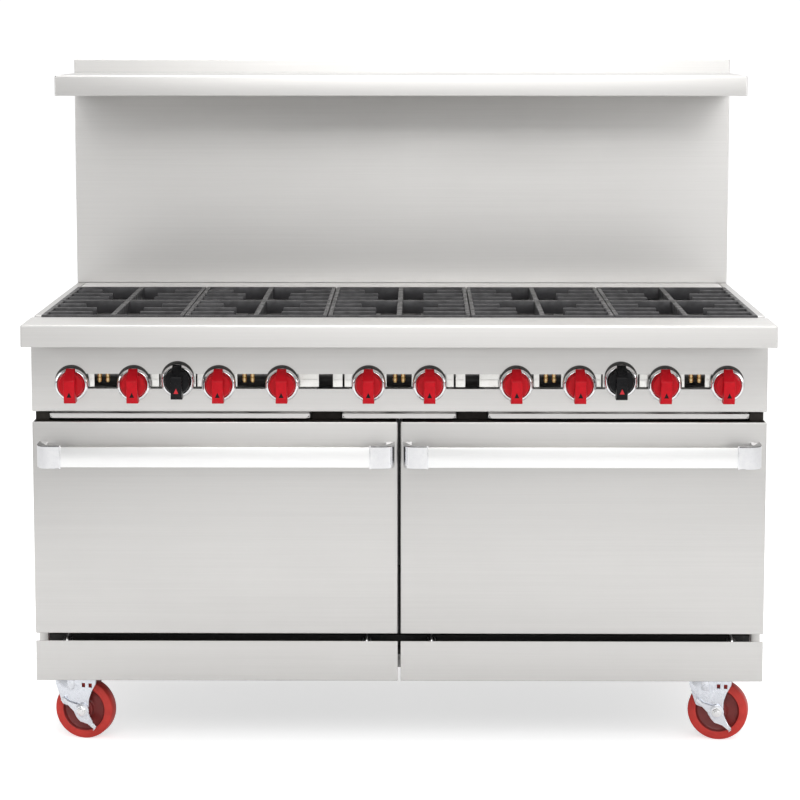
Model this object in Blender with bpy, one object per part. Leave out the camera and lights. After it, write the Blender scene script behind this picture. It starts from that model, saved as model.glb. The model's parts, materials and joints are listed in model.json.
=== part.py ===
"""Freestanding commercial gas range: ten open burners, two ovens, high shelf, four casters.

Units are metres, +Z is up, the front faces -Y, and the origin lies on the floor below the
middle of the range. Every object is one closed solid and touching pieces keep a hairline gap.
"""

import math

import bmesh
import bpy
from mathutils import Matrix, Vector

# Overall size
WIDTH = 1.524
DEPTH = 0.880
HEIGHT = 1.4307
HALF_WIDTH = WIDTH / 2
FRONT_Y = -DEPTH / 2
BACK_Y = DEPTH / 2

# Sheet metal and gaps
GAP = 0.0003
SHEET = 0.0015
THICK_SHEET = 0.002

# Main planes
FACE_Y = FRONT_Y + 0.132          # doors and control panel
DOOR_BACK_Y = FACE_Y + 0.055
CHASSIS_Y = DOOR_BACK_Y + 0.0008  # front of the liners and side panels
GUARD_Y = BACK_Y - 0.035
BODY_BOTTOM_Z = 0.1428
DECK_Z = 0.909
SIDE_THICKNESS = 0.019
INNER_X = HALF_WIDTH - SIDE_THICKNESS

# Kick panels and base frame
KICK_Y = FACE_Y + 0.005
KICK_TOP_Z = 0.2283
KICK_RETURN = 0.015
BASE_Z = (0.168, 0.196)
MIDDLE_GAP = 0.003

# Oven doors
DOOR_Z = (0.2453, 0.6939)
DOOR_X = (MIDDLE_GAP, HALF_WIDTH - 0.0008)
DOOR_OUTER_DEPTH = 0.037
DOOR_INSET = (0.015, 0.0105)
HINGE_Y = FACE_Y + 0.027
HINGE_Z = DOOR_Z[0] - 0.027
HINGE_X = (0.068, 0.698)
HINGE_PLATE = 0.004

# Handles
HANDLE_X = (0.009, 0.746)
HANDLE_Z = (0.6055, 0.6528)
HANDLE_REACH = 0.062
HANDLE_BAND = 0.010
HANDLE_RADIUS = 0.026

# Ovens
OVEN_X = (0.035, 0.715)
OVEN_Z = (0.272, 0.655)
OVEN_BACK_Y = 0.330
FLANGE_Z = (0.232, 0.692)
RACK_Z = 0.452
RACK_WIRE = 0.006
RACK_BARS = 11

# Crumb trays
TRAY_Z = (0.6975, 0.7110)
TRAY_BACK_Y = 0.250
TRAY_SPANS = {"left": (-0.725, -0.185), "centre": (-0.118, 0.118), "right": (0.185, 0.725)}

# Control panel and knobs
PANEL_Z = (0.7148, 0.8660)
SLOT_Z = (0.7627, 0.7939)
SLOT_HALF_LENGTH = 0.682
BURNER_KNOB_X = (0.063, 0.242, 0.373, 0.549, 0.678)
THERMOSTAT_X = 0.458
KNOB_Z = 0.7714
THERMOSTAT_Z = 0.7797
BEZEL_RADIUS = 0.035
BEZEL_PROUD = 0.0045
STEM_RADIUS = 0.004
STEM_HOLE_RADIUS = 0.0055
STEM_BACK_Y = FACE_Y + 0.0207
KNOB_RADIUS = 0.028
KNOB_DISC = 0.016
KNOB_DEPTH = 0.036
GRIP_SIZE = (0.022, 0.070)
GRIP_BACK = 0.004
GRIP_EDGE = 0.003

# Front rail
RAIL_Z = (PANEL_Z[1] + GAP, 0.9112)
RAIL_BACK_Y = -0.3000

# Cooktop
GRATE_PITCH = (0.2965, 0.2775)
GRATE_SIZE = (0.2950, 0.2760)
GRATE_ROWS_Y = (-0.1593, 0.1182)
GRATE_TOP_Z = 0.915
GRATE_HEIGHT = 0.028
GRATE_BAR = 0.009
GRATE_CORE = 0.050
FRAME_HEIGHT = 0.020
COLUMNS = range(-2, 3)
DECK_FRONT_Y = 0.2585
BURNER_RADIUS = 0.045
BURNER_TOP_Z = 0.874
VENTURI_RADIUS = 0.014
VENTURI_Z = 0.800
VENTURI_FRONT_Y = -0.212
VENTURI_OFFSET = 0.028
BURNER_SETS = {"left": (-2, -1), "centre": (0,), "right": (1, 2)}

# Gas manifold
MANIFOLD_Y = -0.235
MANIFOLD_RADIUS = 0.016
MANIFOLD_HALF_LENGTH = 0.715
VALVE_SIZE = (0.024, 0.026)
INLET_X = 0.700
INLET_RADIUS = 0.0135
INLET_CLEARANCE = 0.004

# High shelf
SHELF_Z = (1.3554, 1.4000)
SHELF_FRONT_Y = 0.086

# Casters
WHEEL_RADIUS = 0.0635
WHEEL_WIDTH = 0.032
CASTER_TRAIL = 0.030
FORK_WIDTH = 0.046
FORK_SLOT = 0.036
FORK_TOP_Z = 0.137
SWIVEL_RADIUS = 0.029
SWIVEL_CHAMFER = 0.008
HUB_RADIUS = 0.020
RIM_RADIUS = 0.043
RIM_EDGE = 0.046
WEB_HALF = 0.010
TREAD_ROUND = 0.005
BRAKE_THICKNESS = 0.004
CASTERS = {
    "front_left": (-0.698, -0.220, -12.0),
    "front_right": (0.649, -0.220, -12.0),
    "rear_left": (-0.698, 0.335, 75.0),
    "rear_right": (0.649, 0.335, 75.0),
}

ROUND_SEGMENTS = 20
WHEEL_SEGMENTS = 24
AXIS_X, AXIS_Y, AXIS_Z = Vector((1, 0, 0)), Vector((0, 1, 0)), Vector((0, 0, 1))

FINISHES = {
    "stainless": ((0.66, 0.65, 0.64), 0.30, 1.0),
    "polished_steel": ((0.82, 0.82, 0.82), 0.12, 1.0),
    "galvanised_steel": ((0.52, 0.54, 0.56), 0.45, 1.0),
    "zinc_plate": ((0.68, 0.72, 0.74), 0.28, 1.0),
    "cast_iron": ((0.035, 0.035, 0.038), 0.60, 0.3),
    "brass": ((0.70, 0.52, 0.24), 0.30, 1.0),
    "red_plastic": ((0.58, 0.010, 0.025), 0.35, 0.0),
    "black_plastic": ((0.020, 0.020, 0.022), 0.35, 0.0),
    "red_polyurethane": ((0.62, 0.060, 0.045), 0.45, 0.0),
}


def clear_scene():
    """Remove every object that is already in the file."""
    for old in list(bpy.data.objects):
        bpy.data.objects.remove(old, do_unlink=True)


def finish(name):
    """Return a new Principled material with the colour, roughness and metallic of a finish."""
    colour, roughness, metallic = FINISHES[name]
    material = bpy.data.materials.new(name)
    material.use_nodes = True
    shader = material.node_tree.nodes["Principled BSDF"]
    shader.inputs["Base Color"].default_value = (*colour, 1.0)
    shader.inputs["Roughness"].default_value = roughness
    shader.inputs["Metallic"].default_value = metallic
    return material


def to_mesh(solid, name="solid"):
    """Turn a bmesh into a mesh with its faces pointing out."""
    bmesh.ops.recalc_face_normals(solid, faces=solid.faces)
    mesh = bpy.data.meshes.new(name)
    solid.to_mesh(mesh)
    solid.free()
    return mesh


def place(name, mesh, finish_name, origin=(0.0, 0.0, 0.0)):
    """Add a named object whose mesh is given in world coordinates and whose origin is chosen."""
    mesh.transform(Matrix.Translation(-Vector(origin)))
    return add(name, mesh, finish_name, Matrix.Translation(Vector(origin)))


def add(name, mesh, finish_name, matrix):
    """Add a named object with a mesh in its own coordinates, placed by a matrix."""
    mesh.name = name
    mesh.materials.clear()
    mesh.materials.append(finish(finish_name))
    mesh.shade_smooth()
    mesh.set_sharp_from_angle(angle=math.radians(30))
    piece = bpy.data.objects.new(name, mesh)
    piece.matrix_world = matrix
    bpy.context.collection.objects.link(piece)
    return piece


def cuboid(low, high):
    """Return a bmesh box between two corners."""
    size = Vector(high) - Vector(low)
    middle = (Vector(high) + Vector(low)) / 2
    solid = bmesh.new()
    matrix = Matrix.Translation(middle) @ Matrix.Diagonal((*size, 1.0))
    bmesh.ops.create_cube(solid, size=1.0, matrix=matrix)
    return solid


def pan(low, high, open_side, wall=SHEET):
    """Return a box of folded sheet that is open on one side."""
    solid = cuboid(low, high)
    bmesh.ops.recalc_face_normals(solid, faces=solid.faces)
    side = Vector(open_side)
    face = max(solid.faces, key=lambda item: item.normal.dot(side))
    depth = abs((Vector(high) - Vector(low)).dot(side)) - wall
    bmesh.ops.inset_region(solid, faces=[face], thickness=wall, use_even_offset=True)
    sunk = bmesh.ops.extrude_discrete_faces(solid, faces=[face])["faces"]
    bmesh.ops.translate(solid, verts=sunk[0].verts, vec=-side * depth)
    return solid


def grow(solid, faces, shift):
    """Extrude flat faces of a bmesh by a vector."""
    grown = bmesh.ops.extrude_face_region(solid, geom=faces)["geom"]
    moved = [item for item in grown if isinstance(item, bmesh.types.BMVert)]
    bmesh.ops.translate(solid, verts=moved, vec=shift)


def prism(outline, axis, start, end):
    """Return an outline extruded along X, Y or Z between two positions.

    Outline points are (y, z) for X, (x, z) for Y and (x, y) for Z.
    """
    def corner(point, position):
        values = list(point)
        values.insert("XYZ".index(axis), position)
        return Vector(values)

    solid = bmesh.new()
    face = solid.faces.new([solid.verts.new(corner(point, start)) for point in outline])
    grow(solid, [face], corner((0.0, 0.0), end - start))
    return solid


def lattice(x_lines, y_lines, z_span, is_solid):
    """Return a flat plate of rectangular cells, of which only some are solid."""
    solid = bmesh.new()
    grid = [[solid.verts.new((x, y, z_span[0])) for y in y_lines] for x in x_lines]
    cells = []
    for i in range(len(x_lines) - 1):
        for j in range(len(y_lines) - 1):
            if is_solid(i, j):
                ring = (grid[i][j], grid[i + 1][j], grid[i + 1][j + 1], grid[i][j + 1])
                cells.append(solid.faces.new(ring))
    grow(solid, cells, Vector((0.0, 0.0, z_span[1] - z_span[0])))
    bmesh.ops.delete(solid, geom=[vert for vert in solid.verts if not vert.link_faces], context="VERTS")
    return solid


def turned(profile, segments, matrix=Matrix.Identity(4), phase=0.0):
    """Return a solid of revolution about Z from (radius, height) points, moved by a matrix.

    A profile that starts and ends on the axis is a solid of one piece; any other is a ring.
    """
    solid = bmesh.new()
    rings = []
    for radius, height in profile:
        if radius == 0.0:
            rings.append([solid.verts.new((0.0, 0.0, height))] * segments)
            continue
        angles = [phase + math.tau * step / segments for step in range(segments)]
        circle = [(radius * math.cos(angle), radius * math.sin(angle), height) for angle in angles]
        rings.append([solid.verts.new(point) for point in circle])
    pairs = list(zip(rings, rings[1:]))
    if profile[0][0] > 0.0:
        pairs.append((rings[-1], rings[0]))
    for lower, upper in pairs:
        for step in range(segments):
            following = (step + 1) % segments
            corners = [lower[step], lower[following], upper[following], upper[step]]
            solid.faces.new(list(dict.fromkeys(corners)))
    solid.transform(matrix)
    return solid


def rod(start, end, radius, segments=ROUND_SEGMENTS):
    """Return a plain round bar between two points."""
    direction = Vector(end) - Vector(start)
    turn = AXIS_Z.rotation_difference(direction).to_matrix().to_4x4()
    profile = [(0.0, 0.0), (radius, 0.0), (radius, direction.length), (0.0, direction.length)]
    return turned(profile, segments, Matrix.Translation(Vector(start)) @ turn)


def combined(base, others, operation="UNION"):
    """Return one mesh made of a base bmesh joined with, or cut by, other bmeshes."""
    link = bpy.context.collection.objects.link
    host = bpy.data.objects.new("host", to_mesh(base))
    link(host)
    helpers = []
    for other in others:
        helper = bpy.data.objects.new("helper", to_mesh(other))
        link(helper)
        helpers.append(helper)
        modifier = host.modifiers.new("boolean", "BOOLEAN")
        modifier.operation = operation
        modifier.solver = "EXACT"
        modifier.object = helper
    graph = bpy.context.evaluated_depsgraph_get()
    mesh = bpy.data.meshes.new_from_object(host.evaluated_get(graph))
    for spare in [*helpers, host]:
        bpy.data.objects.remove(spare, do_unlink=True)
    return mesh


def mesh_to_bmesh(mesh):
    """Return a bmesh copy of a mesh."""
    solid = bmesh.new()
    solid.from_mesh(mesh)
    return solid


def mirrored(span, sign):
    """Return an X span on the chosen side of the middle, lowest value first."""
    return tuple(sorted((sign * span[0], sign * span[1])))


def build_base_frame():
    """Welded base frame with wide corner plates for the casters and a middle member."""
    side, member = INNER_X - GAP, 0.040
    x_lines = [-side, -side + member, -0.640, -member / 2, member / 2, 0.600, side - member, side]
    y_lines = [-0.284, -0.244, -0.160, 0.275, 0.394, 0.434]

    def is_solid(i, j):
        return i in (0, 3, 6) or j in (0, 4) or (i in (1, 5) and j in (1, 3))

    place("base_frame", to_mesh(lattice(x_lines, y_lines, BASE_Z, is_solid)), "galvanised_steel")


def build_body_sheets():
    """Side panels, rear panel and the two kick panels."""
    for side, sign in (("left", -1), ("right", 1)):
        x_low, x_high = mirrored((INNER_X, HALF_WIDTH), sign)
        shell = pan((x_low, CHASSIS_Y, BODY_BOTTOM_Z), (x_high, BACK_Y, DECK_Z), (-sign, 0, 0))
        place(f"side_panel_{side}", to_mesh(shell), "stainless")

        kick_x = mirrored((MIDDLE_GAP, HALF_WIDTH - 0.0008), sign)
        outline = [(KICK_Y, BODY_BOTTOM_Z), (KICK_Y + KICK_RETURN, BODY_BOTTOM_Z),
                   (KICK_Y + KICK_RETURN, BODY_BOTTOM_Z + THICK_SHEET),
                   (KICK_Y + THICK_SHEET, BODY_BOTTOM_Z + THICK_SHEET),
                   (KICK_Y + THICK_SHEET, KICK_TOP_Z), (KICK_Y, KICK_TOP_Z)]
        place(f"kick_panel_{side}", to_mesh(prism(outline, "X", *kick_x)), "stainless")

    rear_x = INNER_X - GAP
    rear = pan((-rear_x, BACK_Y - 0.005, BASE_Z[1] + GAP), (rear_x, BACK_Y, DECK_Z), (0, -1, 0))
    inlet_hole = rod((INLET_X, BACK_Y - 0.02, KNOB_Z), (INLET_X, BACK_Y + 0.02, KNOB_Z),
                     INLET_RADIUS + INLET_CLEARANCE, 16)
    place("rear_panel", combined(rear, [inlet_hole], "DIFFERENCE"), "galvanised_steel")


def hinge_arm(x):
    """Return the gooseneck plate that hangs an oven door on its hinge pin."""
    outline = [(14, 44), (26, 44), (26, 0), (18, -11), (8, -14), (-4, -13.5), (-11, -9), (-14, 0),
               (-10, 10), (-3, 14), (8, 14.5), (14, 18)]
    scaled = [(HINGE_Y + y / 1000, HINGE_Z + z / 1000) for y, z in outline]
    return prism(scaled, "X", x - HINGE_PLATE / 2, x + HINGE_PLATE / 2)


def handle_outline(x_low, x_high):
    """Return the top view of a flat handle band whose two ends curve back to the door."""
    front = FACE_Y - HANDLE_REACH
    rear = FACE_Y - GAP
    steps = 6
    outer, inner = [(x_low, rear)], [(x_low + HANDLE_BAND, rear)]
    corners = ((x_low + HANDLE_RADIUS, math.pi), (x_high - HANDLE_RADIUS, 1.5 * math.pi))
    for centre_x, start in corners:
        for step in range(steps + 1):
            angle = start + 0.5 * math.pi * step / steps
            for path, radius in ((outer, HANDLE_RADIUS), (inner, HANDLE_RADIUS - HANDLE_BAND)):
                path.append((centre_x + radius * math.cos(angle),
                             front + HANDLE_RADIUS + radius * math.sin(angle)))
    outer.append((x_high, rear))
    inner.append((x_high - HANDLE_BAND, rear))
    return outer + inner[::-1]


def build_doors():
    """Two drop-down oven doors, each an outer shell, an inner shell with its hinges, and a handle."""
    for side, sign in (("left", -1), ("right", 1)):
        centre_x = sign * (DOOR_X[0] + DOOR_X[1]) / 2
        origin = (centre_x, HINGE_Y, HINGE_Z)
        x_low, x_high = mirrored(DOOR_X, sign)
        shell_back = FACE_Y + DOOR_OUTER_DEPTH
        outer = pan((x_low, FACE_Y, DOOR_Z[0]), (x_high, shell_back, DOOR_Z[1]), (0, 1, 0))
        place(f"door_outer_{side}", to_mesh(outer), "stainless", origin)

        across, up = DOOR_INSET
        inner = pan((x_low + across, shell_back + GAP, DOOR_Z[0] + up),
                    (x_high - across, DOOR_BACK_Y, DOOR_Z[1] - up), (0, -1, 0), THICK_SHEET)
        arms = [hinge_arm(sign * x) for x in HINGE_X]
        place(f"door_inner_{side}", combined(inner, arms), "stainless", origin)

        band = prism(handle_outline(*mirrored(HANDLE_X, sign)), "Z", *HANDLE_Z)
        place(f"door_handle_{side}", to_mesh(band), "polished_steel", origin)


def build_ovens():
    """Two oven liners with a front flange, and a wire rack in each."""
    for side, sign in (("left", -1), ("right", 1)):
        def ring(x_span, z_span, y):
            x_low, x_high = mirrored(x_span, sign)
            z_low, z_high = z_span
            return [(x_low, y, z_low), (x_high, y, z_low), (x_high, y, z_high), (x_low, y, z_high)]

        wall = THICK_SHEET
        cavity_x = (OVEN_X[0] + wall, OVEN_X[1] - wall)
        cavity_z = (OVEN_Z[0] + wall, OVEN_Z[1] - wall)
        flange_x = (MIDDLE_GAP / 2, INNER_X - GAP)
        flange_back = CHASSIS_Y + wall
        rings = [
            ring(cavity_x, cavity_z, OVEN_BACK_Y - wall), ring(cavity_x, cavity_z, CHASSIS_Y),
            ring(flange_x, FLANGE_Z, CHASSIS_Y), ring(flange_x, FLANGE_Z, flange_back),
            ring(OVEN_X, OVEN_Z, flange_back), ring(OVEN_X, OVEN_Z, OVEN_BACK_Y),
        ]
        liner = bmesh.new()
        loops = [[liner.verts.new(point) for point in points] for points in rings]
        liner.faces.new(loops[0])
        liner.faces.new(loops[-1])
        for near, far in zip(loops, loops[1:]):
            for step in range(4):
                following = (step + 1) % 4
                liner.faces.new((near[step], near[following], far[following], far[step]))
        place(f"oven_liner_{side}", to_mesh(liner), "galvanised_steel")

        x_low, x_high = mirrored((OVEN_X[0] + 0.012, OVEN_X[1] - 0.012), sign)
        y_low, y_high = CHASSIS_Y + 0.020, OVEN_BACK_Y - 0.020
        pitch = (x_high - x_low - RACK_WIRE) / (RACK_BARS + 1)
        x_lines = [x_low + k * pitch + edge for k in range(RACK_BARS + 2) for edge in (0.0, RACK_WIRE)]
        middle = (y_low + y_high) / 2
        y_lines = [y_low, y_low + RACK_WIRE, middle, middle + RACK_WIRE, y_high - RACK_WIRE, y_high]

        rack = lattice(x_lines, y_lines, (RACK_Z, RACK_Z + RACK_WIRE),
                       lambda i, j: i % 2 == 0 or j % 2 == 0)
        place(f"oven_rack_{side}", to_mesh(rack), "polished_steel")


def build_crumb_trays():
    """Three pull-out trays between the doors and the control panel."""
    for side, (x_low, x_high) in TRAY_SPANS.items():
        low, high = (x_low, FACE_Y + 0.001, TRAY_Z[0]), (x_high, TRAY_BACK_Y, TRAY_Z[1])
        origin = ((x_low + x_high) / 2, FACE_Y, TRAY_Z[0])
        place(f"crumb_tray_{side}", to_mesh(pan(low, high, (0, 0, 1))), "stainless", origin)


def knob_places():
    """Return (name, x, z, is_thermostat) for each knob, from left to right."""
    places = [(sign * x, KNOB_Z, False) for sign in (-1, 1) for x in BURNER_KNOB_X]
    places += [(sign * THERMOSTAT_X, THERMOSTAT_Z, True) for sign in (-1, 1)]
    named, burner = [], 0
    for x, z, is_thermostat in sorted(places):
        if is_thermostat:
            name = "thermostat_knob_left" if x < 0 else "thermostat_knob_right"
        else:
            burner += 1
            name = f"burner_knob_{burner:02d}"
        named.append((name, x, z, is_thermostat))
    return named


def build_control_panel():
    """Control panel with a long slot, and a round bezel behind each knob."""
    x_half = DOOR_X[1]
    shell = pan((-x_half, FACE_Y, PANEL_Z[0]), (x_half, DOOR_BACK_Y, PANEL_Z[1]), (0, 1, 0), THICK_SHEET)
    slot = cuboid((-SLOT_HALF_LENGTH, FACE_Y - 0.01, SLOT_Z[0]),
                  (SLOT_HALF_LENGTH, FACE_Y + 0.01, SLOT_Z[1]))
    slotted = combined(shell, [slot], "DIFFERENCE")
    front, back = FACE_Y - BEZEL_PROUD, FACE_Y + THICK_SHEET * 0.6
    profile = [(STEM_HOLE_RADIUS, 0.0), (BEZEL_RADIUS, 0.0), (BEZEL_RADIUS, back - front),
               (STEM_HOLE_RADIUS, back - front)]
    bezels = []
    for _, x, z, _ in knob_places():
        turn = Matrix.Translation((x, front, z)) @ Matrix.Rotation(-math.pi / 2, 4, "X")
        bezels.append(turned(profile, ROUND_SEGMENTS, turn))
    place("control_panel", combined(mesh_to_bmesh(slotted), bezels), "stainless")


def build_knobs():
    """Round knobs with a raised grip bar and a stem that reaches the gas valve.

    The knob mesh lies along +Z, which is turned to face the front.
    """
    back = FACE_Y - BEZEL_PROUD - 0.0005
    stem = STEM_BACK_Y - back
    profile = [(0.0, -stem), (STEM_RADIUS, -stem), (STEM_RADIUS, 0.0), (KNOB_RADIUS, 0.0),
               (KNOB_RADIUS - 0.001, KNOB_DISC - 0.002), (KNOB_RADIUS - 0.003, KNOB_DISC), (0.0, KNOB_DISC)]
    half_width, half_length = GRIP_SIZE[0] / 2, GRIP_SIZE[1] / 2
    grip = cuboid((-half_width, -half_length, GRIP_BACK), (half_width, half_length, KNOB_DEPTH))
    bmesh.ops.bevel(grip, geom=grip.edges[:], offset=GRIP_EDGE, segments=1, affect="EDGES")
    shape = combined(turned(profile, ROUND_SEGMENTS), [grip])
    for name, x, z, is_thermostat in knob_places():
        colour = "black_plastic" if is_thermostat else "red_plastic"
        matrix = Matrix.Translation((x, back, z)) @ Matrix.Rotation(math.pi / 2, 4, "X")
        add(name, shape.copy(), colour, matrix)


def build_manifold():
    """Gas pipe behind the control panel with a valve body for each knob, fed from the back."""
    pipe = rod((-MANIFOLD_HALF_LENGTH, MANIFOLD_Y, KNOB_Z), (MANIFOLD_HALF_LENGTH, MANIFOLD_Y, KNOB_Z),
               MANIFOLD_RADIUS, 12)
    valves = []
    for _, x, z, _ in knob_places():
        half_x, half_z = VALVE_SIZE[0] / 2, VALVE_SIZE[1] / 2
        front = STEM_BACK_Y + 0.0005
        valves.append(cuboid((x - half_x, front, z - half_z), (x + half_x, MANIFOLD_Y, z + half_z)))
    inlet = rod((INLET_X, MANIFOLD_Y, KNOB_Z), (INLET_X, BACK_Y, KNOB_Z), INLET_RADIUS, 12)
    place("gas_manifold", combined(pipe, [*valves, inlet]), "brass")


def build_front_rail():
    """Deep landing rail along the front edge of the cooktop."""
    low, high = (-HALF_WIDTH, FRONT_Y, RAIL_Z[0]), (HALF_WIDTH, RAIL_BACK_Y, RAIL_Z[1])
    rail = pan(low, high, (0, 0, -1), THICK_SHEET)
    place("front_rail", to_mesh(rail), "stainless")


def build_burner_box():
    """Open frame that carries the grates, with the flat deck behind them."""
    top = GRATE_TOP_Z - GRATE_HEIGHT - GAP
    side, wall = INNER_X - GAP, 0.006
    half_pitch = GRATE_PITCH[0] / 2
    x_lines = [-side, -side + wall]
    for column in list(COLUMNS)[:-1]:
        boundary = column * GRATE_PITCH[0] + half_pitch
        x_lines += [boundary - wall / 2, boundary + wall / 2]
    x_lines += [side - wall, side]
    y_lines = [RAIL_BACK_Y + GAP, RAIL_BACK_Y + GAP + wall, DECK_FRONT_Y - wall, DECK_FRONT_Y + 0.001]
    frame = lattice(x_lines, y_lines, (top - FRAME_HEIGHT, top), lambda i, j: i % 2 == 0 or j != 1)
    deck = pan((-side, DECK_FRONT_Y, top - FRAME_HEIGHT - 0.002), (side, GUARD_Y - GAP, DECK_Z),
               (0, 0, -1), THICK_SHEET)
    place("burner_box", combined(deck, [frame]), "stainless")


def build_grates():
    """Ten cast-iron lift-off grates, two to a column."""
    half_x, half_y, bar = GRATE_SIZE[0] / 2, GRATE_SIZE[1] / 2, GRATE_BAR
    x_lines = [-half_x, -half_x + bar, -GRATE_CORE, -bar / 2, bar / 2, GRATE_CORE, half_x - bar, half_x]
    y_lines = [-half_y, -half_y + bar]
    for finger in (-0.070, 0.0, 0.070):
        y_lines += [finger - bar / 2, finger + bar / 2]
    y_lines += [half_y - bar, half_y]

    def is_solid(i, j):
        return i in (0, 3, 6) or j in (0, 8) or (i in (1, 5) and j % 2 == 0)

    shape = to_mesh(lattice(x_lines, y_lines, (0.0, GRATE_HEIGHT), is_solid))
    for column in COLUMNS:
        for row, y in zip(("front", "rear"), GRATE_ROWS_Y):
            corner = (column * GRATE_PITCH[0], y, GRATE_TOP_Z - GRATE_HEIGHT)
            add(f"grate_{row}_{column + 3}", shape.copy(), "cast_iron", Matrix.Translation(corner))


def build_burners():
    """Round burner heads on venturi tubes, tied together by a support bar, one set to a section."""
    top_profile = [(0.0, -0.030), (0.024, -0.030), (BURNER_RADIUS, -0.018), (BURNER_RADIUS, -0.004),
                   (BURNER_RADIUS - 0.006, 0.0), (0.0, 0.0)]
    for side, columns in BURNER_SETS.items():
        pieces = []
        for column in columns:
            for y, offset in zip(GRATE_ROWS_Y, (VENTURI_OFFSET, -VENTURI_OFFSET)):
                x = column * GRATE_PITCH[0]
                tube_x = x + offset
                pieces.append(turned(top_profile, 16, Matrix.Translation((x, y, BURNER_TOP_Z))))
                pieces.append(rod((tube_x, VENTURI_FRONT_Y, VENTURI_Z), (tube_x, y + 0.020, VENTURI_Z),
                                  VENTURI_RADIUS, 10))
                pieces.append(rod((x + offset / 2, y, VENTURI_Z + 0.002), (x, y, BURNER_TOP_Z - 0.020),
                                  VENTURI_RADIUS + 0.003, 10))
        low_x = columns[0] * GRATE_PITCH[0] - 0.080
        high_x = columns[-1] * GRATE_PITCH[0] + 0.080
        bar = cuboid((low_x, GRATE_ROWS_Y[0] - 0.012, VENTURI_Z - 0.0175),
                     (high_x, GRATE_ROWS_Y[0] + 0.012, VENTURI_Z - 0.0055))
        place(f"burner_set_{side}", combined(bar, pieces), "cast_iron")


def build_backguard():
    """Hollow flue riser behind the cooktop, and the high shelf on its front."""
    riser = pan((-HALF_WIDTH, GUARD_Y, DECK_Z + GAP), (HALF_WIDTH, BACK_Y, HEIGHT), (0, 0, -1), THICK_SHEET)
    place("backguard", to_mesh(riser), "stainless")
    shelf = pan((-HALF_WIDTH, SHELF_FRONT_Y, SHELF_Z[0]), (HALF_WIDTH, GUARD_Y - GAP, SHELF_Z[1]),
                (0, 0, -1), THICK_SHEET)
    place("high_shelf", to_mesh(shelf), "stainless")


def caster_matrix(x, y, yaw):
    """Return the matrix of a caster whose swivel axis is Z and whose wheel trails along +X."""
    return Matrix.Translation((x, y, 0.0)) @ Matrix.Rotation(math.radians(yaw), 4, "Z")


def build_casters():
    """Four swivel casters; the two in front have a brake lever on the outside of the fork."""
    fork_outline = [(-0.030, FORK_TOP_Z), (-0.030, 0.118), (CASTER_TRAIL - 0.030, 0.072),
                    (CASTER_TRAIL - 0.016, WHEEL_RADIUS - 0.012), (CASTER_TRAIL, WHEEL_RADIUS - 0.017),
                    (CASTER_TRAIL + 0.016, WHEEL_RADIUS - 0.008), (CASTER_TRAIL + 0.018, 0.100),
                    (CASTER_TRAIL + 0.030, 0.124), (CASTER_TRAIL + 0.030, FORK_TOP_Z)]
    yoke = prism(fork_outline, "Y", -FORK_WIDTH / 2, FORK_WIDTH / 2)
    wheel_room = cuboid((-0.1, -FORK_SLOT / 2, -0.1), (0.2, FORK_SLOT / 2, FORK_TOP_Z - 0.005))
    head_low, head_high = FORK_TOP_Z - 0.003, BASE_Z[0] - GAP
    head_profile = [(0.0, head_low), (SWIVEL_RADIUS, head_low), (SWIVEL_RADIUS, head_high - SWIVEL_CHAMFER),
                    (SWIVEL_RADIUS - SWIVEL_CHAMFER, head_high), (0.0, head_high)]
    head = turned(head_profile, ROUND_SEGMENTS)
    slotted = combined(yoke, [wheel_room], "DIFFERENCE")
    fork = combined(mesh_to_bmesh(slotted), [head])

    # The phase puts a flat, not a corner, at the bottom of the tread, and the corners lie further
    # out, so that the flats are at the wheel's radius.
    tread, half_hub = WHEEL_WIDTH / 2, FORK_SLOT / 2 - 0.001
    corner_radius = WHEEL_RADIUS / math.cos(math.pi / WHEEL_SEGMENTS)
    half_profile = [(0.0, half_hub), (HUB_RADIUS, half_hub), (HUB_RADIUS, WEB_HALF), (RIM_RADIUS, WEB_HALF),
                    (RIM_EDGE, tread), (corner_radius - TREAD_ROUND, tread),
                    (corner_radius, tread - TREAD_ROUND)]
    profile = [(radius, -height) for radius, height in half_profile] + half_profile[::-1]
    lay_down = Matrix.Rotation(math.pi / 2, 4, "X")
    wheel = to_mesh(turned(profile, WHEEL_SEGMENTS, lay_down, phase=math.pi / WHEEL_SEGMENTS))

    lever_outline = [(-0.040, 0.030), (-0.034, 0.036), (0.000, 0.019), (0.016, 0.005), (0.034, -0.022),
                     (0.030, -0.032), (0.004, -0.020), (-0.012, -0.010)]
    lever = to_mesh(prism(lever_outline, "Y", 0.0, BRAKE_THICKNESS))

    for place_name, (x, y, yaw) in CASTERS.items():
        pivot = caster_matrix(x, y, yaw)
        add(f"caster_fork_{place_name}", fork.copy(), "zinc_plate", pivot)
        axle = pivot @ Matrix.Translation((CASTER_TRAIL, 0.0, WHEEL_RADIUS))
        add(f"caster_wheel_{place_name}", wheel.copy(), "red_polyurethane", axle)
        if place_name.startswith("front"):
            outside = Matrix.Translation((0.0, -FORK_WIDTH / 2 - GAP - BRAKE_THICKNESS, 0.0))
            add(f"brake_lever_{place_name}", lever.copy(), "zinc_plate", axle @ outside)


def main():
    """Build every piece of the range."""
    clear_scene()
    build_base_frame()
    build_body_sheets()
    build_doors()
    build_ovens()
    build_crumb_trays()
    build_control_panel()
    build_knobs()
    build_manifold()
    build_front_rail()
    build_burner_box()
    build_grates()
    build_burners()
    build_backguard()
    build_casters()


main()
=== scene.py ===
"""Looks of a freestanding gas range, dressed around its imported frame.

Each sub-assembly of the range is a class that holds its own sizes and builds, dresses and
hands over its pieces. Sizes are in metres, +Z is up and the front of the range faces -Y.
"""

import json
import logging
import math
from collections.abc import Callable, Iterable, Iterator, Sequence
from contextlib import contextmanager
from dataclasses import dataclass
from enum import Enum

import bmesh
import bpy
from mathutils import Matrix, Vector

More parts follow.
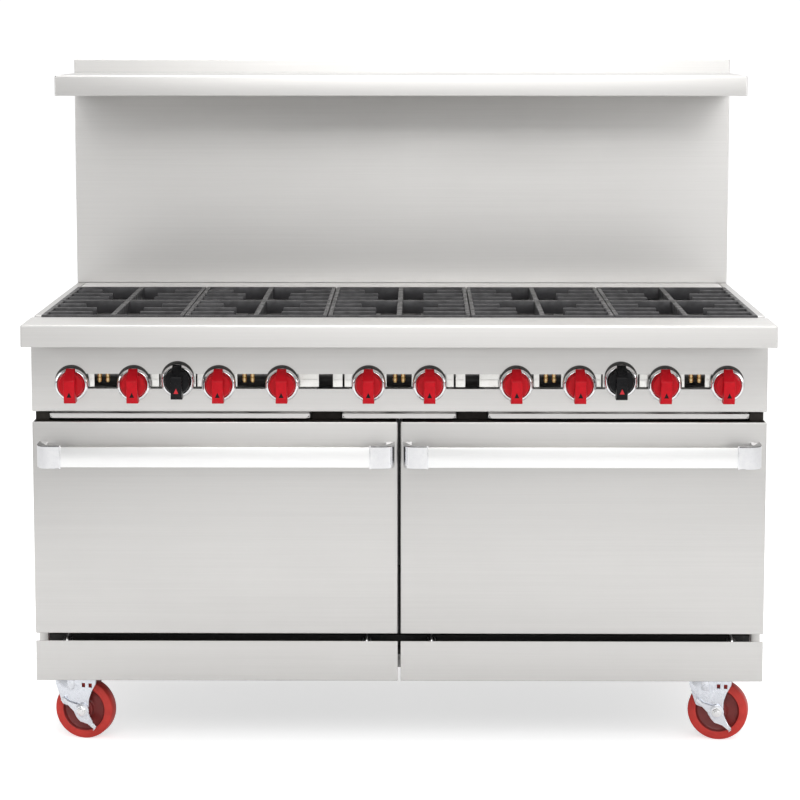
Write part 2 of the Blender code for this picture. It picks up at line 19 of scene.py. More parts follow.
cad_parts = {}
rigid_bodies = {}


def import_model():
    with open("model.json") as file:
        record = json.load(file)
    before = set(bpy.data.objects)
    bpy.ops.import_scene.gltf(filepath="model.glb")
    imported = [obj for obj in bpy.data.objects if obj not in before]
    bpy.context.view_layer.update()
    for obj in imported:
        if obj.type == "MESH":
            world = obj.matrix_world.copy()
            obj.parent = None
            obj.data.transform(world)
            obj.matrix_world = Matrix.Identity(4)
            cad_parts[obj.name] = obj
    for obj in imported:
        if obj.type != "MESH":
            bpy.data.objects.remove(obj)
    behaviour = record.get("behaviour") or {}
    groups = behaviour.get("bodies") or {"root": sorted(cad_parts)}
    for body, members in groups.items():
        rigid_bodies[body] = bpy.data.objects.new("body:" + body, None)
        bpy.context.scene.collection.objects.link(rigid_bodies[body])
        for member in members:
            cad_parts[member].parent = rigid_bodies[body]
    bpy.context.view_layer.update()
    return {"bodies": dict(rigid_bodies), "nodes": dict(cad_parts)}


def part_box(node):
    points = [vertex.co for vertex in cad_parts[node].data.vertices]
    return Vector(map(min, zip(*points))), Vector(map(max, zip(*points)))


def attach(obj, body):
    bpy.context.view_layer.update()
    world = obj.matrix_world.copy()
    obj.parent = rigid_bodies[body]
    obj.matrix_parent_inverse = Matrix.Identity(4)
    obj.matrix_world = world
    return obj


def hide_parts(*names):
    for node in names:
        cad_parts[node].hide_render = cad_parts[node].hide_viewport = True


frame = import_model()

LOG = logging.getLogger("gas_range")
BODY = "range_body"
SHEET = 0.0015
SIDES = {"left": -1.0, "right": 1.0}

# Carries an outline's X to +Y, its Y to +Z and its depth to +X.
SIDEWAYS = Matrix(((0, 0, 1, 0), (1, 0, 0, 0), (0, 1, 0, 0), (0, 0, 0, 1)))

# Carries an outline's X to +X, its Y to +Z and its depth to -Y.
UPRIGHT = Matrix.Rotation(math.pi / 2, 4, "X")

Piece = bpy.types.Object
Point = Sequence[float]
Pair = tuple[float, float]
Triple = tuple[float, float, float]


class Pick(Enum):
    """What edit mode selects."""

    VERT = (True, False, False)
    EDGE = (False, True, False)
    FACE = (False, False, True)


class Grain(Enum):
    """The way the brushing runs on a sheet, as the scale of its streaks along X, Y and Z."""

    ALONG_X = (2.2, 420.0, 420.0)
    ALONG_Z = (420.0, 420.0, 2.2)


# ---------------------------------------------------------------------------------------
# Bench: modelling by hand, with operators
# ---------------------------------------------------------------------------------------

def activate(*pieces: Piece) -> None:
    """Select only the given pieces and make the last one active."""
    bpy.ops.object.select_all(action="DESELECT")
    for piece in pieces:
        piece.select_set(True)
    bpy.context.view_layer.objects.active = pieces[-1]


def choose(piece: Piece, pick: Pick, test: Callable[..., bool] | None) -> None:
    """Select parts of the mesh that is in edit mode.

    Args:
        piece: the piece in edit mode.
        pick: whether vertices, edges or faces are tested.
        test: takes a vertex place, an edge's middle and direction, or a face's middle and
            normal, and says whether it is selected. None selects everything.
    """
    shape = bmesh.from_edit_mesh(piece.data)
    for item in (*shape.verts, *shape.edges, *shape.faces):
        item.select_set(False)
    if pick is Pick.VERT:
        for vert in shape.verts:
            vert.select_set(test is None or test(vert.co))
    elif pick is Pick.EDGE:
        for edge in shape.edges:
            start, end = (vert.co for vert in edge.verts)
            if test is None or test((start + end) / 2, (end - start).normalized()):
                edge.select_set(True)
    else:
        for face in shape.faces:
            if test is None or test(face.calc_center_median(), face.normal):
                face.select_set(True)
    shape.select_flush_mode()
    bmesh.update_edit_mesh(piece.data)


@contextmanager
def editing(piece: Piece, pick: Pick = Pick.FACE, test: Callable[..., bool] | None = None) -> Iterator[None]:
    """Open a piece in edit mode with a selection, and close it again.

    Args:
        piece: the piece to edit.
        pick: whether vertices, edges or faces are selected.
        test: what choose tests with, or None to select everything.
    """
    activate(piece)
    bpy.ops.object.mode_set(mode="EDIT")
    bpy.context.tool_settings.mesh_select_mode = pick.value
    choose(piece, pick, test)
    yield
    bpy.ops.object.mode_set(mode="OBJECT")


def settle(piece: Piece, name: str) -> Piece:
    """Name a new primitive and put its place, turn and scale into its mesh.

    Args:
        piece: the new primitive.
        name: its name.

    Returns:
        The same piece.
    """
    piece.name = name
    piece.data.name = name
    activate(piece)
    bpy.ops.object.transform_apply(location=True, rotation=True, scale=True)
    return piece


def cube(name: str, low: Point, high: Point) -> Piece:
    """Add a box between two corners.

    Args:
        name: the piece's name.
        low: lowest corner.
        high: highest corner.

    Returns:
        The box, with sharp edges.
    """
    low_corner, high_corner = Vector(low), Vector(high)
    bpy.ops.object.select_all(action="DESELECT")
    bpy.ops.mesh.primitive_cube_add(size=1.0, location=(low_corner + high_corner) / 2)
    piece = bpy.context.active_object
    piece.scale = high_corner - low_corner
    return settle(piece, name)


def modify(piece: Piece, kind: str, **values: object) -> Piece:
    """Add a modifier and apply it.

    Args:
        piece: the piece that it shapes.
        kind: the modifier's type.
        **values: its settings.

    Returns:
        The same piece.
    """
    modifier = piece.modifiers.new(kind.lower(), kind)
    for key, value in values.items():
        setattr(modifier, key, value)
    activate(piece)
    bpy.ops.object.modifier_apply(modifier=modifier.name)
    return piece


def soften(piece: Piece, width: float, segments: int = 2, angle: float = 30.0) -> Piece:
    """Round the edges of a piece that are sharper than an angle in degrees."""
    return modify(piece, "BEVEL", width=width, segments=segments, limit_method="ANGLE",
                  angle_limit=math.radians(angle), harden_normals=False)


def block(name: str, low: Point, high: Point, edge: float = 0.001, segments: int = 2) -> Piece:
    """Add a box with rounded edges."""
    return soften(cube(name, low, high), edge, segments)


def folded(name: str, low: Point, high: Point, open_sides: Sequence[Point], radius: float = 0.0025,
           wall: float = SHEET) -> Piece:
    """Add a pan or channel of folded sheet with rounded bends.

    Args:
        name: the piece's name.
        low: lowest corner of the pan.
        high: highest corner of the pan.
        open_sides: the directions that the pan is open to.
        radius: outside radius of the bends.
        wall: thickness of the sheet.

    Returns:
        The finished pan.
    """
    piece = cube(name, low, high)
    middle = (Vector(low) + Vector(high)) / 2
    half = (Vector(high) - Vector(low)) / 2
    sides = [Vector(side) for side in open_sides]

    def is_bend(point: Vector, _: Vector) -> bool:
        """Say whether an edge belongs to no open side."""
        return all((point - middle).dot(side) < abs(half.dot(side)) - 1e-6 for side in sides)

    with editing(piece, Pick.EDGE, is_bend):
        bpy.ops.mesh.bevel(offset=radius, segments=3, affect="EDGES")
    with editing(piece, Pick.FACE, lambda _, normal: any(normal.dot(side) > 0.999 for side in sides)):
        bpy.ops.mesh.delete(type="FACE")
    modify(piece, "SOLIDIFY", thickness=wall, offset=-1.0, use_even_offset=True)
    return soften(piece, wall * 0.3, 1, 60.0)


def place_matrix(origin: Point, direction: Point = (0.0, 0.0, 1.0)) -> Matrix:
    """Return the matrix that carries +Z to a direction at an origin."""
    turn = Vector((0.0, 0.0, 1.0)).rotation_difference(Vector(direction)).to_matrix().to_4x4()
    return Matrix.Translation(Vector(origin)) @ turn


def turned(name: str, profile: Sequence[Pair], matrix: Matrix, sides: int = 32) -> Piece:
    """Turn a profile about Z and carry it to its place.

    Args:
        name: the piece's name.
        profile: (radius, height) points. Where the last equals the first, the shape is a ring.
        matrix: where the finished shape goes.
        sides: how many sides the round shape has.

    Returns:
        The turned piece.
    """
    ring = profile[0] == profile[-1]
    steps = profile[:-1] if ring else profile
    first_radius, first_height = steps[0]
    bpy.ops.object.select_all(action="DESELECT")
    bpy.ops.mesh.primitive_circle_add(vertices=sides, radius=first_radius, location=(0.0, 0.0, first_height),
                                      fill_type="NOTHING" if ring else "NGON")
    piece = settle(bpy.context.active_object, name)
    with editing(piece, Pick.EDGE):
        for (near, low), (far, high) in zip(steps, steps[1:]):
            bpy.ops.mesh.extrude_region_move(TRANSFORM_OT_translate={"value": (0.0, 0.0, high - low)})
            bpy.ops.transform.resize(value=(far / near, far / near, 1.0), center_override=(0.0, 0.0, high))
        if ring:
            bpy.ops.mesh.select_all(action="DESELECT")
            bpy.ops.mesh.select_non_manifold()
            bpy.ops.mesh.bridge_edge_loops()
        bpy.ops.mesh.select_all(action="SELECT")
        bpy.ops.mesh.normals_make_consistent(inside=False)
    piece.data.transform(matrix)
    return piece


def rod(name: str, start: Point, end: Point, radius: float, sides: int = 16, edge: float = 0.0006) -> Piece:
    """Add a round bar between two points.

    Args:
        name: the piece's name.
        start: middle of its first end.
        end: middle of its other end.
        radius: its radius.
        sides: how many sides it has.
        edge: rounding of its ends.

    Returns:
        The bar.
    """
    length = (Vector(end) - Vector(start)).length
    profile = [(radius - edge, 0.0), (radius, edge), (radius, length - edge), (radius - edge, length)]
    return turned(name, profile, place_matrix(start, Vector(end) - Vector(start)), sides)


def outlined(name: str, outline: Sequence[Pair], matrix: Matrix, depth: float,
             edge: float = 0.0005) -> Piece:
    """Extrude an outline in the XY plane up to a depth, round its edges and carry it to its place.

    Args:
        name: the piece's name.
        outline: (x, y) corners in order.
        matrix: where the finished shape goes.
        depth: how far the outline is extruded along +Z.
        edge: width of the rounding.

    Returns:
        The finished piece.
    """
    bpy.ops.object.select_all(action="DESELECT")
    bpy.ops.mesh.primitive_circle_add(vertices=len(outline), radius=1.0, fill_type="NGON")
    piece = settle(bpy.context.active_object, name)
    for vert, (x, y) in zip(piece.data.vertices, outline):
        vert.co = (x, y, 0.0)
    with editing(piece):
        bpy.ops.mesh.extrude_region_move(TRANSFORM_OT_translate={"value": (0.0, 0.0, depth)})
        bpy.ops.mesh.select_all(action="SELECT")
        bpy.ops.mesh.normals_make_consistent(inside=False)
    if edge > 0.0:
        soften(piece, edge, 1)
    piece.data.transform(matrix)
    return piece


def copied(piece: Piece, name: str, matrix: Matrix) -> Piece:
    """Copy a piece, with a mesh of its own, and carry the copy by a matrix.

    Args:
        piece: the piece to copy.
        name: the copy's name.
        matrix: how the copy's mesh is carried.

    Returns:
        The copy.
    """
    twin = piece.copy()
    twin.data = piece.data.copy()
    twin.name = twin.data.name = name
    twin.data.transform(matrix)
    if matrix.determinant() < 0.0:
        twin.data.flip_normals()
    bpy.context.collection.objects.link(twin)
    return twin


def moved(piece: Piece, shift: Point, name: str) -> Piece:
    """Copy a piece and shift the copy."""
    return copied(piece, name, Matrix.Translation(Vector(shift)))


def joined(name: str, pieces: Sequence[Piece]) -> Piece:
    """Join pieces into one object, which keeps them as separate shells.

    Args:
        name: the name of the joined piece.
        pieces: the pieces, which end as one.

    Returns:
        The joined piece.
    """
    activate(*pieces)
    if len(pieces) > 1:
        bpy.ops.object.join()
    piece = bpy.context.active_object
    piece.name = piece.data.name = name
    return piece


def discard(*pieces: Piece) -> None:
    """Remove templates and cutters that are done with."""
    for piece in pieces:
        bpy.data.objects.remove(piece, do_unlink=True)


def cut(piece: Piece, cutters: Sequence[Piece]) -> Piece:
    """Cut holes into a piece and discard the cutters.

    Args:
        piece: the piece that takes the holes.
        cutters: the shapes taken away from it.

    Returns:
        The same piece.
    """
    for cutter in cutters:
        modify(piece, "BOOLEAN", operation="DIFFERENCE", solver="EXACT", object=cutter)
        discard(cutter)
    return piece


def dress(piece: Piece, finish: "Finish", body: str, replaces: Iterable[str] = (),
          angle: float = 35.0) -> Piece:
    """Give a piece its finish and its body, and report it.

    Args:
        piece: the finished shape.
        finish: the finish that it takes.
        body: the body that it rides on.
        replaces: the frame nodes that it stands for.
        angle: faces that meet at less than this many degrees are shaded smooth.

    Returns:
        The same piece.
    """
    activate(piece)
    bpy.ops.object.shade_smooth_by_angle(angle=math.radians(angle))
    piece.data.materials.clear()
    piece.data.materials.append(finish.material())
    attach(piece, body)
    nodes = tuple(replaces)
    if nodes:
        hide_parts(*nodes)
    LOG.info("%s: %d faces on %s", piece.name, len(piece.data.polygons), body)
    return piece


def recoat(node: str, finish: "Finish") -> None:
    """Give a frame node a better finish without touching its shape.

    Args:
        node: the node's name.
        finish: the finish that it takes.
    """
    mesh = frame["nodes"][node].data
    mesh.materials.clear()
    mesh.materials.append(finish.material())
    LOG.info("%s keeps its shape, finish %s", node, finish.name)


# ---------------------------------------------------------------------------------------
# Effects that several finishes share
# ---------------------------------------------------------------------------------------

Color = Triple
Output = bpy.types.NodeSocket
Look = tuple[Output, Output, Output]


class Net:
    """Adds and wires the nodes of one tree."""

    def __init__(self, tree: bpy.types.NodeTree) -> None:
        """Keep the tree that takes the nodes."""
        self.tree = tree

    def add(self, kind: str, inputs: dict[str | int, object] | None = None,
            **values: object) -> bpy.types.Node:
        """Add a node.

        Args:
            kind: the node's type, without its ShaderNode prefix.
            inputs: a value or another node's output for each input.
            **values: the node's own settings.

        Returns:
            The node.
        """
        node = self.tree.nodes.new("ShaderNode" + kind)
        for key, value in values.items():
            setattr(node, key, value)
        for key, value in (inputs or {}).items():
            if isinstance(value, bpy.types.NodeSocket):
                self.tree.links.new(value, node.inputs[key])
            else:
                node.inputs[key].default_value = value
        return node

    def math(self, operation: str, first: object, second: object = 0.0) -> Output:
        """Return the output of a clamped Math node."""
        return self.add("Math", {0: first, 1: second}, operation=operation, use_clamp=True).outputs[0]

    def fit(self, value: Output, low: float, high: float, to_low: float, to_high: float) -> Output:
        """Return a value moved from one range to another."""
        return self.add("MapRange", {0: value, 1: low, 2: high, 3: to_low, 4: to_high}).outputs[0]

    def noise(self, vector: Output, scale: object, detail: float = 2.0, roughness: float = 0.5) -> Output:
        """Return the value of a noise texture."""
        inputs = {"Vector": vector, "Scale": scale, "Detail": detail, "Roughness": roughness}
        return self.add("TexNoise", inputs).outputs[0]

    def blend(self, factor: Output, first: object, second: object) -> Output:
        """Return one colour mixed over another."""
        return self.add("Mix", {0: factor, 6: first, 7: second}, data_type="RGBA").outputs[2]


class Effect:
    """A shader node group that is built once and placed wherever a finish asks for it."""

    name = "effect"
    numbers: tuple[tuple[str, float], ...] = ()
    results: tuple[str, ...] = ("Mask",)

    def group(self) -> bpy.types.NodeTree:
        """Return the group, and build it the first time.

        Returns:
            The group's node tree.
        """
        found = bpy.data.node_groups.get(self.name)
        if found:
            return found
        tree = bpy.data.node_groups.new(self.name, "ShaderNodeTree")
        tree.interface.new_socket("Vector", in_out="INPUT", socket_type="NodeSocketVector")
        for label, value in self.numbers:
            tree.interface.new_socket(label, in_out="INPUT",
                                      socket_type="NodeSocketFloat").default_value = value
        for label in self.results:
            tree.interface.new_socket(label, in_out="OUTPUT", socket_type="NodeSocketFloat")
        net = Net(tree)
        source = tree.nodes.new("NodeGroupInput")
        target = tree.nodes.new("NodeGroupOutput")
        for label, output in zip(self.results, self.wire(net, source)):
            tree.links.new(output, target.inputs[label])
        return tree

    def wire(self, net: Net, source: bpy.types.Node) -> tuple[Output, ...]:
        """Wire the inside of the group."""
        raise NotImplementedError

    def place(self, net: Net, vector: Output, **numbers: float) -> bpy.types.Node:
        """Place the group in a material, with that material's own numbers."""
        return net.add("Group", {"Vector": vector, **numbers}, node_tree=self.group())


class BrushLines(Effect):
    """Fine parallel lines that a belt leaves on sheet metal."""

    name = "brush_lines"
    results = ("Height", "Tone")

    def wire(self, net: Net, source: bpy.types.Node) -> tuple[Output, ...]:
        """Mix broad and fine lines.

        Args:
            net: adds nodes to the group.
            source: the group's input node.

        Returns:
            Height and tone.
        """
        vector = source.outputs["Vector"]
        broad = net.noise(vector, 0.5, 3.0, 0.7)
        fine = net.noise(vector, 2.6, 2.0, 0.6)
        height = net.math("ADD", net.math("MULTIPLY", broad, 0.55), net.math("MULTIPLY", fine, 0.45))
        return height, net.fit(height, 0.36, 0.64, 0.0, 1.0)


class WipeMarks(Effect):
    """Cloudy marks of hands and wiping cloths."""

    name = "wipe_marks"
    numbers = (("Size", 3.0), ("Amount", 0.5))

    def wire(self, net: Net, source: bpy.types.Node) -> tuple[Output, ...]:
        """Mix large clouds with small smears.

        Args:
            net: adds nodes to the group.
            source: the group's input node.

        Returns:
            The mask.
        """
        vector = source.outputs["Vector"]
        clouds = net.fit(net.noise(vector, source.outputs["Size"], 3.0, 0.55), 0.42, 0.70, 0.0, 1.0)
        finer = net.add("Math", {0: source.outputs["Size"], 1: 6.5}, operation="MULTIPLY").outputs[0]
        smears = net.fit(net.noise(vector, finer, 2.0, 0.6), 0.45, 0.75, 0.0, 0.6)
        both = net.math("ADD", clouds, smears)
        return (net.math("MULTIPLY", both, source.outputs["Amount"]),)


class SettledDust(Effect):
    """Dust and spills that settle on surfaces that face up."""

    name = "settled_dust"
    numbers = (("Amount", 0.3),)

    def wire(self, net: Net, source: bpy.types.Node) -> tuple[Output, ...]:
        """Break up the share of each surface that faces up.

        Args:
            net: adds nodes to the group.
            source: the group's input node.

        Returns:
            The mask.
        """
        normal = net.add("NewGeometry").outputs["Normal"]
        upward = net.fit(net.add("SeparateXYZ", {0: normal}).outputs[2], 0.35, 1.0, 0.0, 1.0)
        cloud = net.fit(net.noise(source.outputs["Vector"], 14.0, 4.0, 0.65), 0.38, 0.68, 0.15, 1.0)
        return (net.math("MULTIPLY", net.math("MULTIPLY", upward, cloud), source.outputs["Amount"]),)


class WornAndHighlitEdges(Effect):
    """Edges lightened in colour: partly wear from handling, partly painted highlight."""

    name = "edge_wear_and_painted_highlight"
    numbers = (("Amount", 0.5),)

    def wire(self, net: Net, source: bpy.types.Node) -> tuple[Output, ...]:
        """Take the sharp outer edges and break them up.

        Args:
            net: adds nodes to the group.
            source: the group's input node.

        Returns:
            The mask.
        """
        sharp = net.fit(net.add("NewGeometry").outputs["Pointiness"], 0.53, 0.62, 0.0, 1.0)
        broken = net.fit(net.noise(source.outputs["Vector"], 90.0, 3.0, 0.6), 0.35, 0.65, 0.3, 1.0)
        return (net.math("MULTIPLY", net.math("MULTIPLY", sharp, broken), source.outputs["Amount"]),)


class SandPits(Effect):
    """The pitted skin that a sand mould or a coarse mould leaves."""

    name = "sand_pits"
    numbers = (("Size", 500.0),)
    results = ("Height", "Tone")

    def wire(self, net: Net, source: bpy.types.Node) -> tuple[Output, ...]:
        """Mix grains with slow waves.

        Args:
            net: adds nodes to the group.
            source: the group's input node.

        Returns:
            Height and tone.
        """
        vector = source.outputs["Vector"]
        grains = net.noise(vector, source.outputs["Size"], 3.0, 0.6)
        slower = net.add("Math", {0: source.outputs["Size"], 1: 0.12}, operation="MULTIPLY").outputs[0]
        waves = net.noise(vector, slower, 2.0, 0.5)
        height = net.math("ADD", net.math("MULTIPLY", grains, 0.6), net.math("MULTIPLY", waves, 0.4))
        return height, net.fit(waves, 0.35, 0.65, 0.0, 1.0)


class Flecks(Effect):
    """Small light flecks fired into enamel, or the spangle of a zinc coat."""

    name = "flecks"
    numbers = (("Size", 320.0), ("Cover", 0.28))

    def wire(self, net: Net, source: bpy.types.Node) -> tuple[Output, ...]:
        """Keep the cores of cells whose own value is high.

        Args:
            net: adds nodes to the group.
            source: the group's input node.

        Returns:
            The mask.
        """
        inputs = {"Vector": source.outputs["Vector"], "Scale": source.outputs["Size"]}
        cells = net.add("TexVoronoi", inputs)
        core = net.add("Math", {0: cells.outputs["Distance"], 1: source.outputs["Cover"]},
                       operation="LESS_THAN").outputs[0]
        value = net.add("SeparateXYZ", {0: cells.outputs["Color"]}).outputs[0]
        return (net.math("MULTIPLY", core, net.fit(value, 0.35, 0.9, 0.0, 1.0)),)


# ---------------------------------------------------------------------------------------
# Finishes
# ---------------------------------------------------------------------------------------

@dataclass(frozen=True)
class Finish:
    """One finish of the range.

    Attributes:
        name: the material's name.
        color: its main colour.
        deep: the colour of its hollows, marks or flecks.
        metallic: 1 for bare metal and 0 for the rest.
        smooth: roughness where it is cleanest.
        rough: roughness where it is most marked.
        relief: height of its surface pattern.
        coat: strength of a clear gloss over it.
        gloss: strength of the reflection on what isn't metal.
    """

    name: str
    color: Color
    deep: Color
    metallic: float = 1.0
    smooth: float = 0.25
    rough: float = 0.40
    relief: float = 0.00004
    coat: float = 0.0
    gloss: float = 0.5

    def material(self) -> bpy.types.Material:
        """Return the finish's material, and build it the first time.

        Returns:
            The material.
        """
        found = bpy.data.materials.get(self.name)
        if found:
            return found
        material = bpy.data.materials.new(self.name)
        material.use_nodes = True
        material.diffuse_color = (*self.color, 1.0)
        shader = material.node_tree.nodes["Principled BSDF"]
        shader.inputs["Metallic"].default_value = self.metallic
        shader.inputs["Coat Weight"].default_value = self.coat
        shader.inputs["Specular IOR Level"].default_value = self.gloss
        shader.inputs["Coat Roughness"].default_value = 0.08
        net = Net(material.node_tree)
        vector = net.add("TexCoord").outputs["Object"]
        tone, marks, height = self.pattern(net, vector)
        colour = net.blend(tone, (*self.color, 1.0), (*self.deep, 1.0))
        bump = net.add("Bump", {"Height": height, "Distance": self.relief, "Strength": 1.0})
        for label, output in (("Base Color", self.tint(net, vector, colour)),
                              ("Roughness", net.fit(marks, 0.0, 1.0, self.smooth, self.rough)),
                              ("Normal", bump.outputs[0])):
            net.tree.links.new(output, shader.inputs[label])
        return material

    def pattern(self, net: Net, vector: Output) -> Look:
        """Wire the surface pattern."""
        raise NotImplementedError

    def tint(self, net: Net, vector: Output, colour: Output) -> Output:
        """Return the colour with whatever lies on top of it."""
        return colour


@dataclass(frozen=True)
class BrushedSheet(Finish):
    """Stainless sheet with a brushed face."""

    grain: Grain = Grain.ALONG_X
    smudge: float = 0.35

    def pattern(self, net: Net, vector: Output) -> Look:
        """Lay lines along the grain and marks over them.

        Args:
            net: adds nodes to the material.
            vector: places on the piece.

        Returns:
            How deep the colour is, how rough the surface is, and its height.
        """
        stretched = net.add("Mapping", {"Vector": vector, "Scale": self.grain.value}).outputs[0]
        lines = BrushLines().place(net, stretched)
        marks = WipeMarks().place(net, vector, Size=3.2, Amount=self.smudge).outputs[0]
        tone = net.math("ADD", net.math("MULTIPLY", lines.outputs["Tone"], 0.45),
                        net.math("MULTIPLY", marks, 0.35))
        rough = net.math("ADD", net.math("MULTIPLY", lines.outputs["Tone"], 0.45), marks)
        return tone, rough, lines.outputs["Height"]


@dataclass(frozen=True)
class PlatedMetal(Finish):
    """Chrome, zinc, brass and other turned or plated metal."""

    spangle: float = 260.0
    wear_and_highlight: Color = (0.95, 0.95, 0.94)

    def pattern(self, net: Net, vector: Output) -> Look:
        """Scatter a fine spangle under light marks.

        Args:
            net: adds nodes to the material.
            vector: places on the piece.

        Returns:
            How deep the colour is, how rough the surface is, and its height.
        """
        flecks = Flecks().place(net, vector, Size=self.spangle, Cover=0.42).outputs[0]
        marks = WipeMarks().place(net, vector, Size=24.0, Amount=0.6).outputs[0]
        tone = net.math("ADD", net.math("MULTIPLY", flecks, 0.35), net.math("MULTIPLY", marks, 0.55))
        return tone, marks, net.noise(vector, 700.0, 2.0, 0.5)

    def tint(self, net: Net, vector: Output, colour: Output) -> Output:
        """Brighten the edges, partly as wear and partly as painted highlight."""
        edges = WornAndHighlitEdges().place(net, vector, Amount=0.6).outputs[0]
        return net.blend(edges, colour, (*self.wear_and_highlight, 1.0))


@dataclass(frozen=True)
class CastMetal(Finish):
    """Bare or seasoned cast iron."""

    metallic: float = 0.0
    dust: float = 0.18
    wear_and_highlight: Color = (0.11, 0.11, 0.115)

    def pattern(self, net: Net, vector: Output) -> Look:
        """Pit the skin and let its tone drift."""
        pits = SandPits().place(net, vector, Size=420.0)
        return pits.outputs["Tone"], pits.outputs["Tone"], pits.outputs["Height"]

    def tint(self, net: Net, vector: Output, colour: Output) -> Output:
        """Lighten the edges, partly as wear and partly as painted highlight, and let ash settle on top.

        Args:
            net: adds nodes to the material.
            vector: places on the piece.
            colour: the colour underneath.

        Returns:
            The finished colour.
        """
        edges = WornAndHighlitEdges().place(net, vector, Amount=0.7).outputs[0]
        wear_and_highlight = net.blend(edges, colour, (*self.wear_and_highlight, 1.0))
        ash = SettledDust().place(net, vector, Amount=self.dust).outputs[0]
        return net.blend(ash, wear_and_highlight, (0.16, 0.15, 0.14, 1.0))


@dataclass(frozen=True)
class Moulded(Finish):
    """Moulded plastic, rubber or polyurethane."""

    metallic: float = 0.0
    pores: float = 900.0
    dust: float = 0.06

    def pattern(self, net: Net, vector: Output) -> Look:
        """Give the skin fine pores and some handling.

        Args:
            net: adds nodes to the material.
            vector: places on the piece.

        Returns:
            How deep the colour is, how rough the surface is, and its height.
        """
        pits = SandPits().place(net, vector, Size=self.pores)
        marks = WipeMarks().place(net, vector, Size=30.0, Amount=0.7).outputs[0]
        return net.math("MULTIPLY", pits.outputs["Tone"], 0.6), marks, pits.outputs["Height"]

    def tint(self, net: Net, vector: Output, colour: Output) -> Output:
        """Let a little dust settle on top."""
        dust = SettledDust().place(net, vector, Amount=self.dust).outputs[0]
        return net.blend(dust, colour, (0.55, 0.53, 0.50, 1.0))


@dataclass(frozen=True)
class Speckled(Finish):
    """Porcelain enamel with fired flecks, or galvanised sheet with its spangle."""

    size: float = 330.0
    cover: float = 0.26

    def pattern(self, net: Net, vector: Output) -> Look:
        """Scatter the flecks over a slow orange-peel.

        Args:
            net: adds nodes to the material.
            vector: places on the piece.

        Returns:
            How deep the colour is, how rough the surface is, and its height.
        """
        flecks = Flecks().place(net, vector, Size=self.size, Cover=self.cover).outputs[0]
        marks = WipeMarks().place(net, vector, Size=6.0, Amount=0.5).outputs[0]
        return flecks, marks, net.noise(vector, 160.0, 2.0, 0.5)


@dataclass(frozen=True)
class Woven(Finish):
    """Braided glass-fibre rope."""

    metallic: float = 0.0

    def pattern(self, net: Net, vector: Output) -> Look:
        """Cross two sets of strands.

        Args:
            net: adds nodes to the material.
            vector: places on the piece.

        Returns:
            How deep the colour is, how rough the surface is, and its height.
        """
        waves = [net.add("TexWave", {"Vector": vector, "Scale": 120.0, "Distortion": 1.2},
                         wave_type="BANDS", bands_direction=axis).outputs[1] for axis in ("DIAGONAL", "X")]
        height = net.math("MULTIPLY", *waves)
        marks = WipeMarks().place(net, vector, Size=20.0, Amount=0.8).outputs[0]
        return height, marks, height


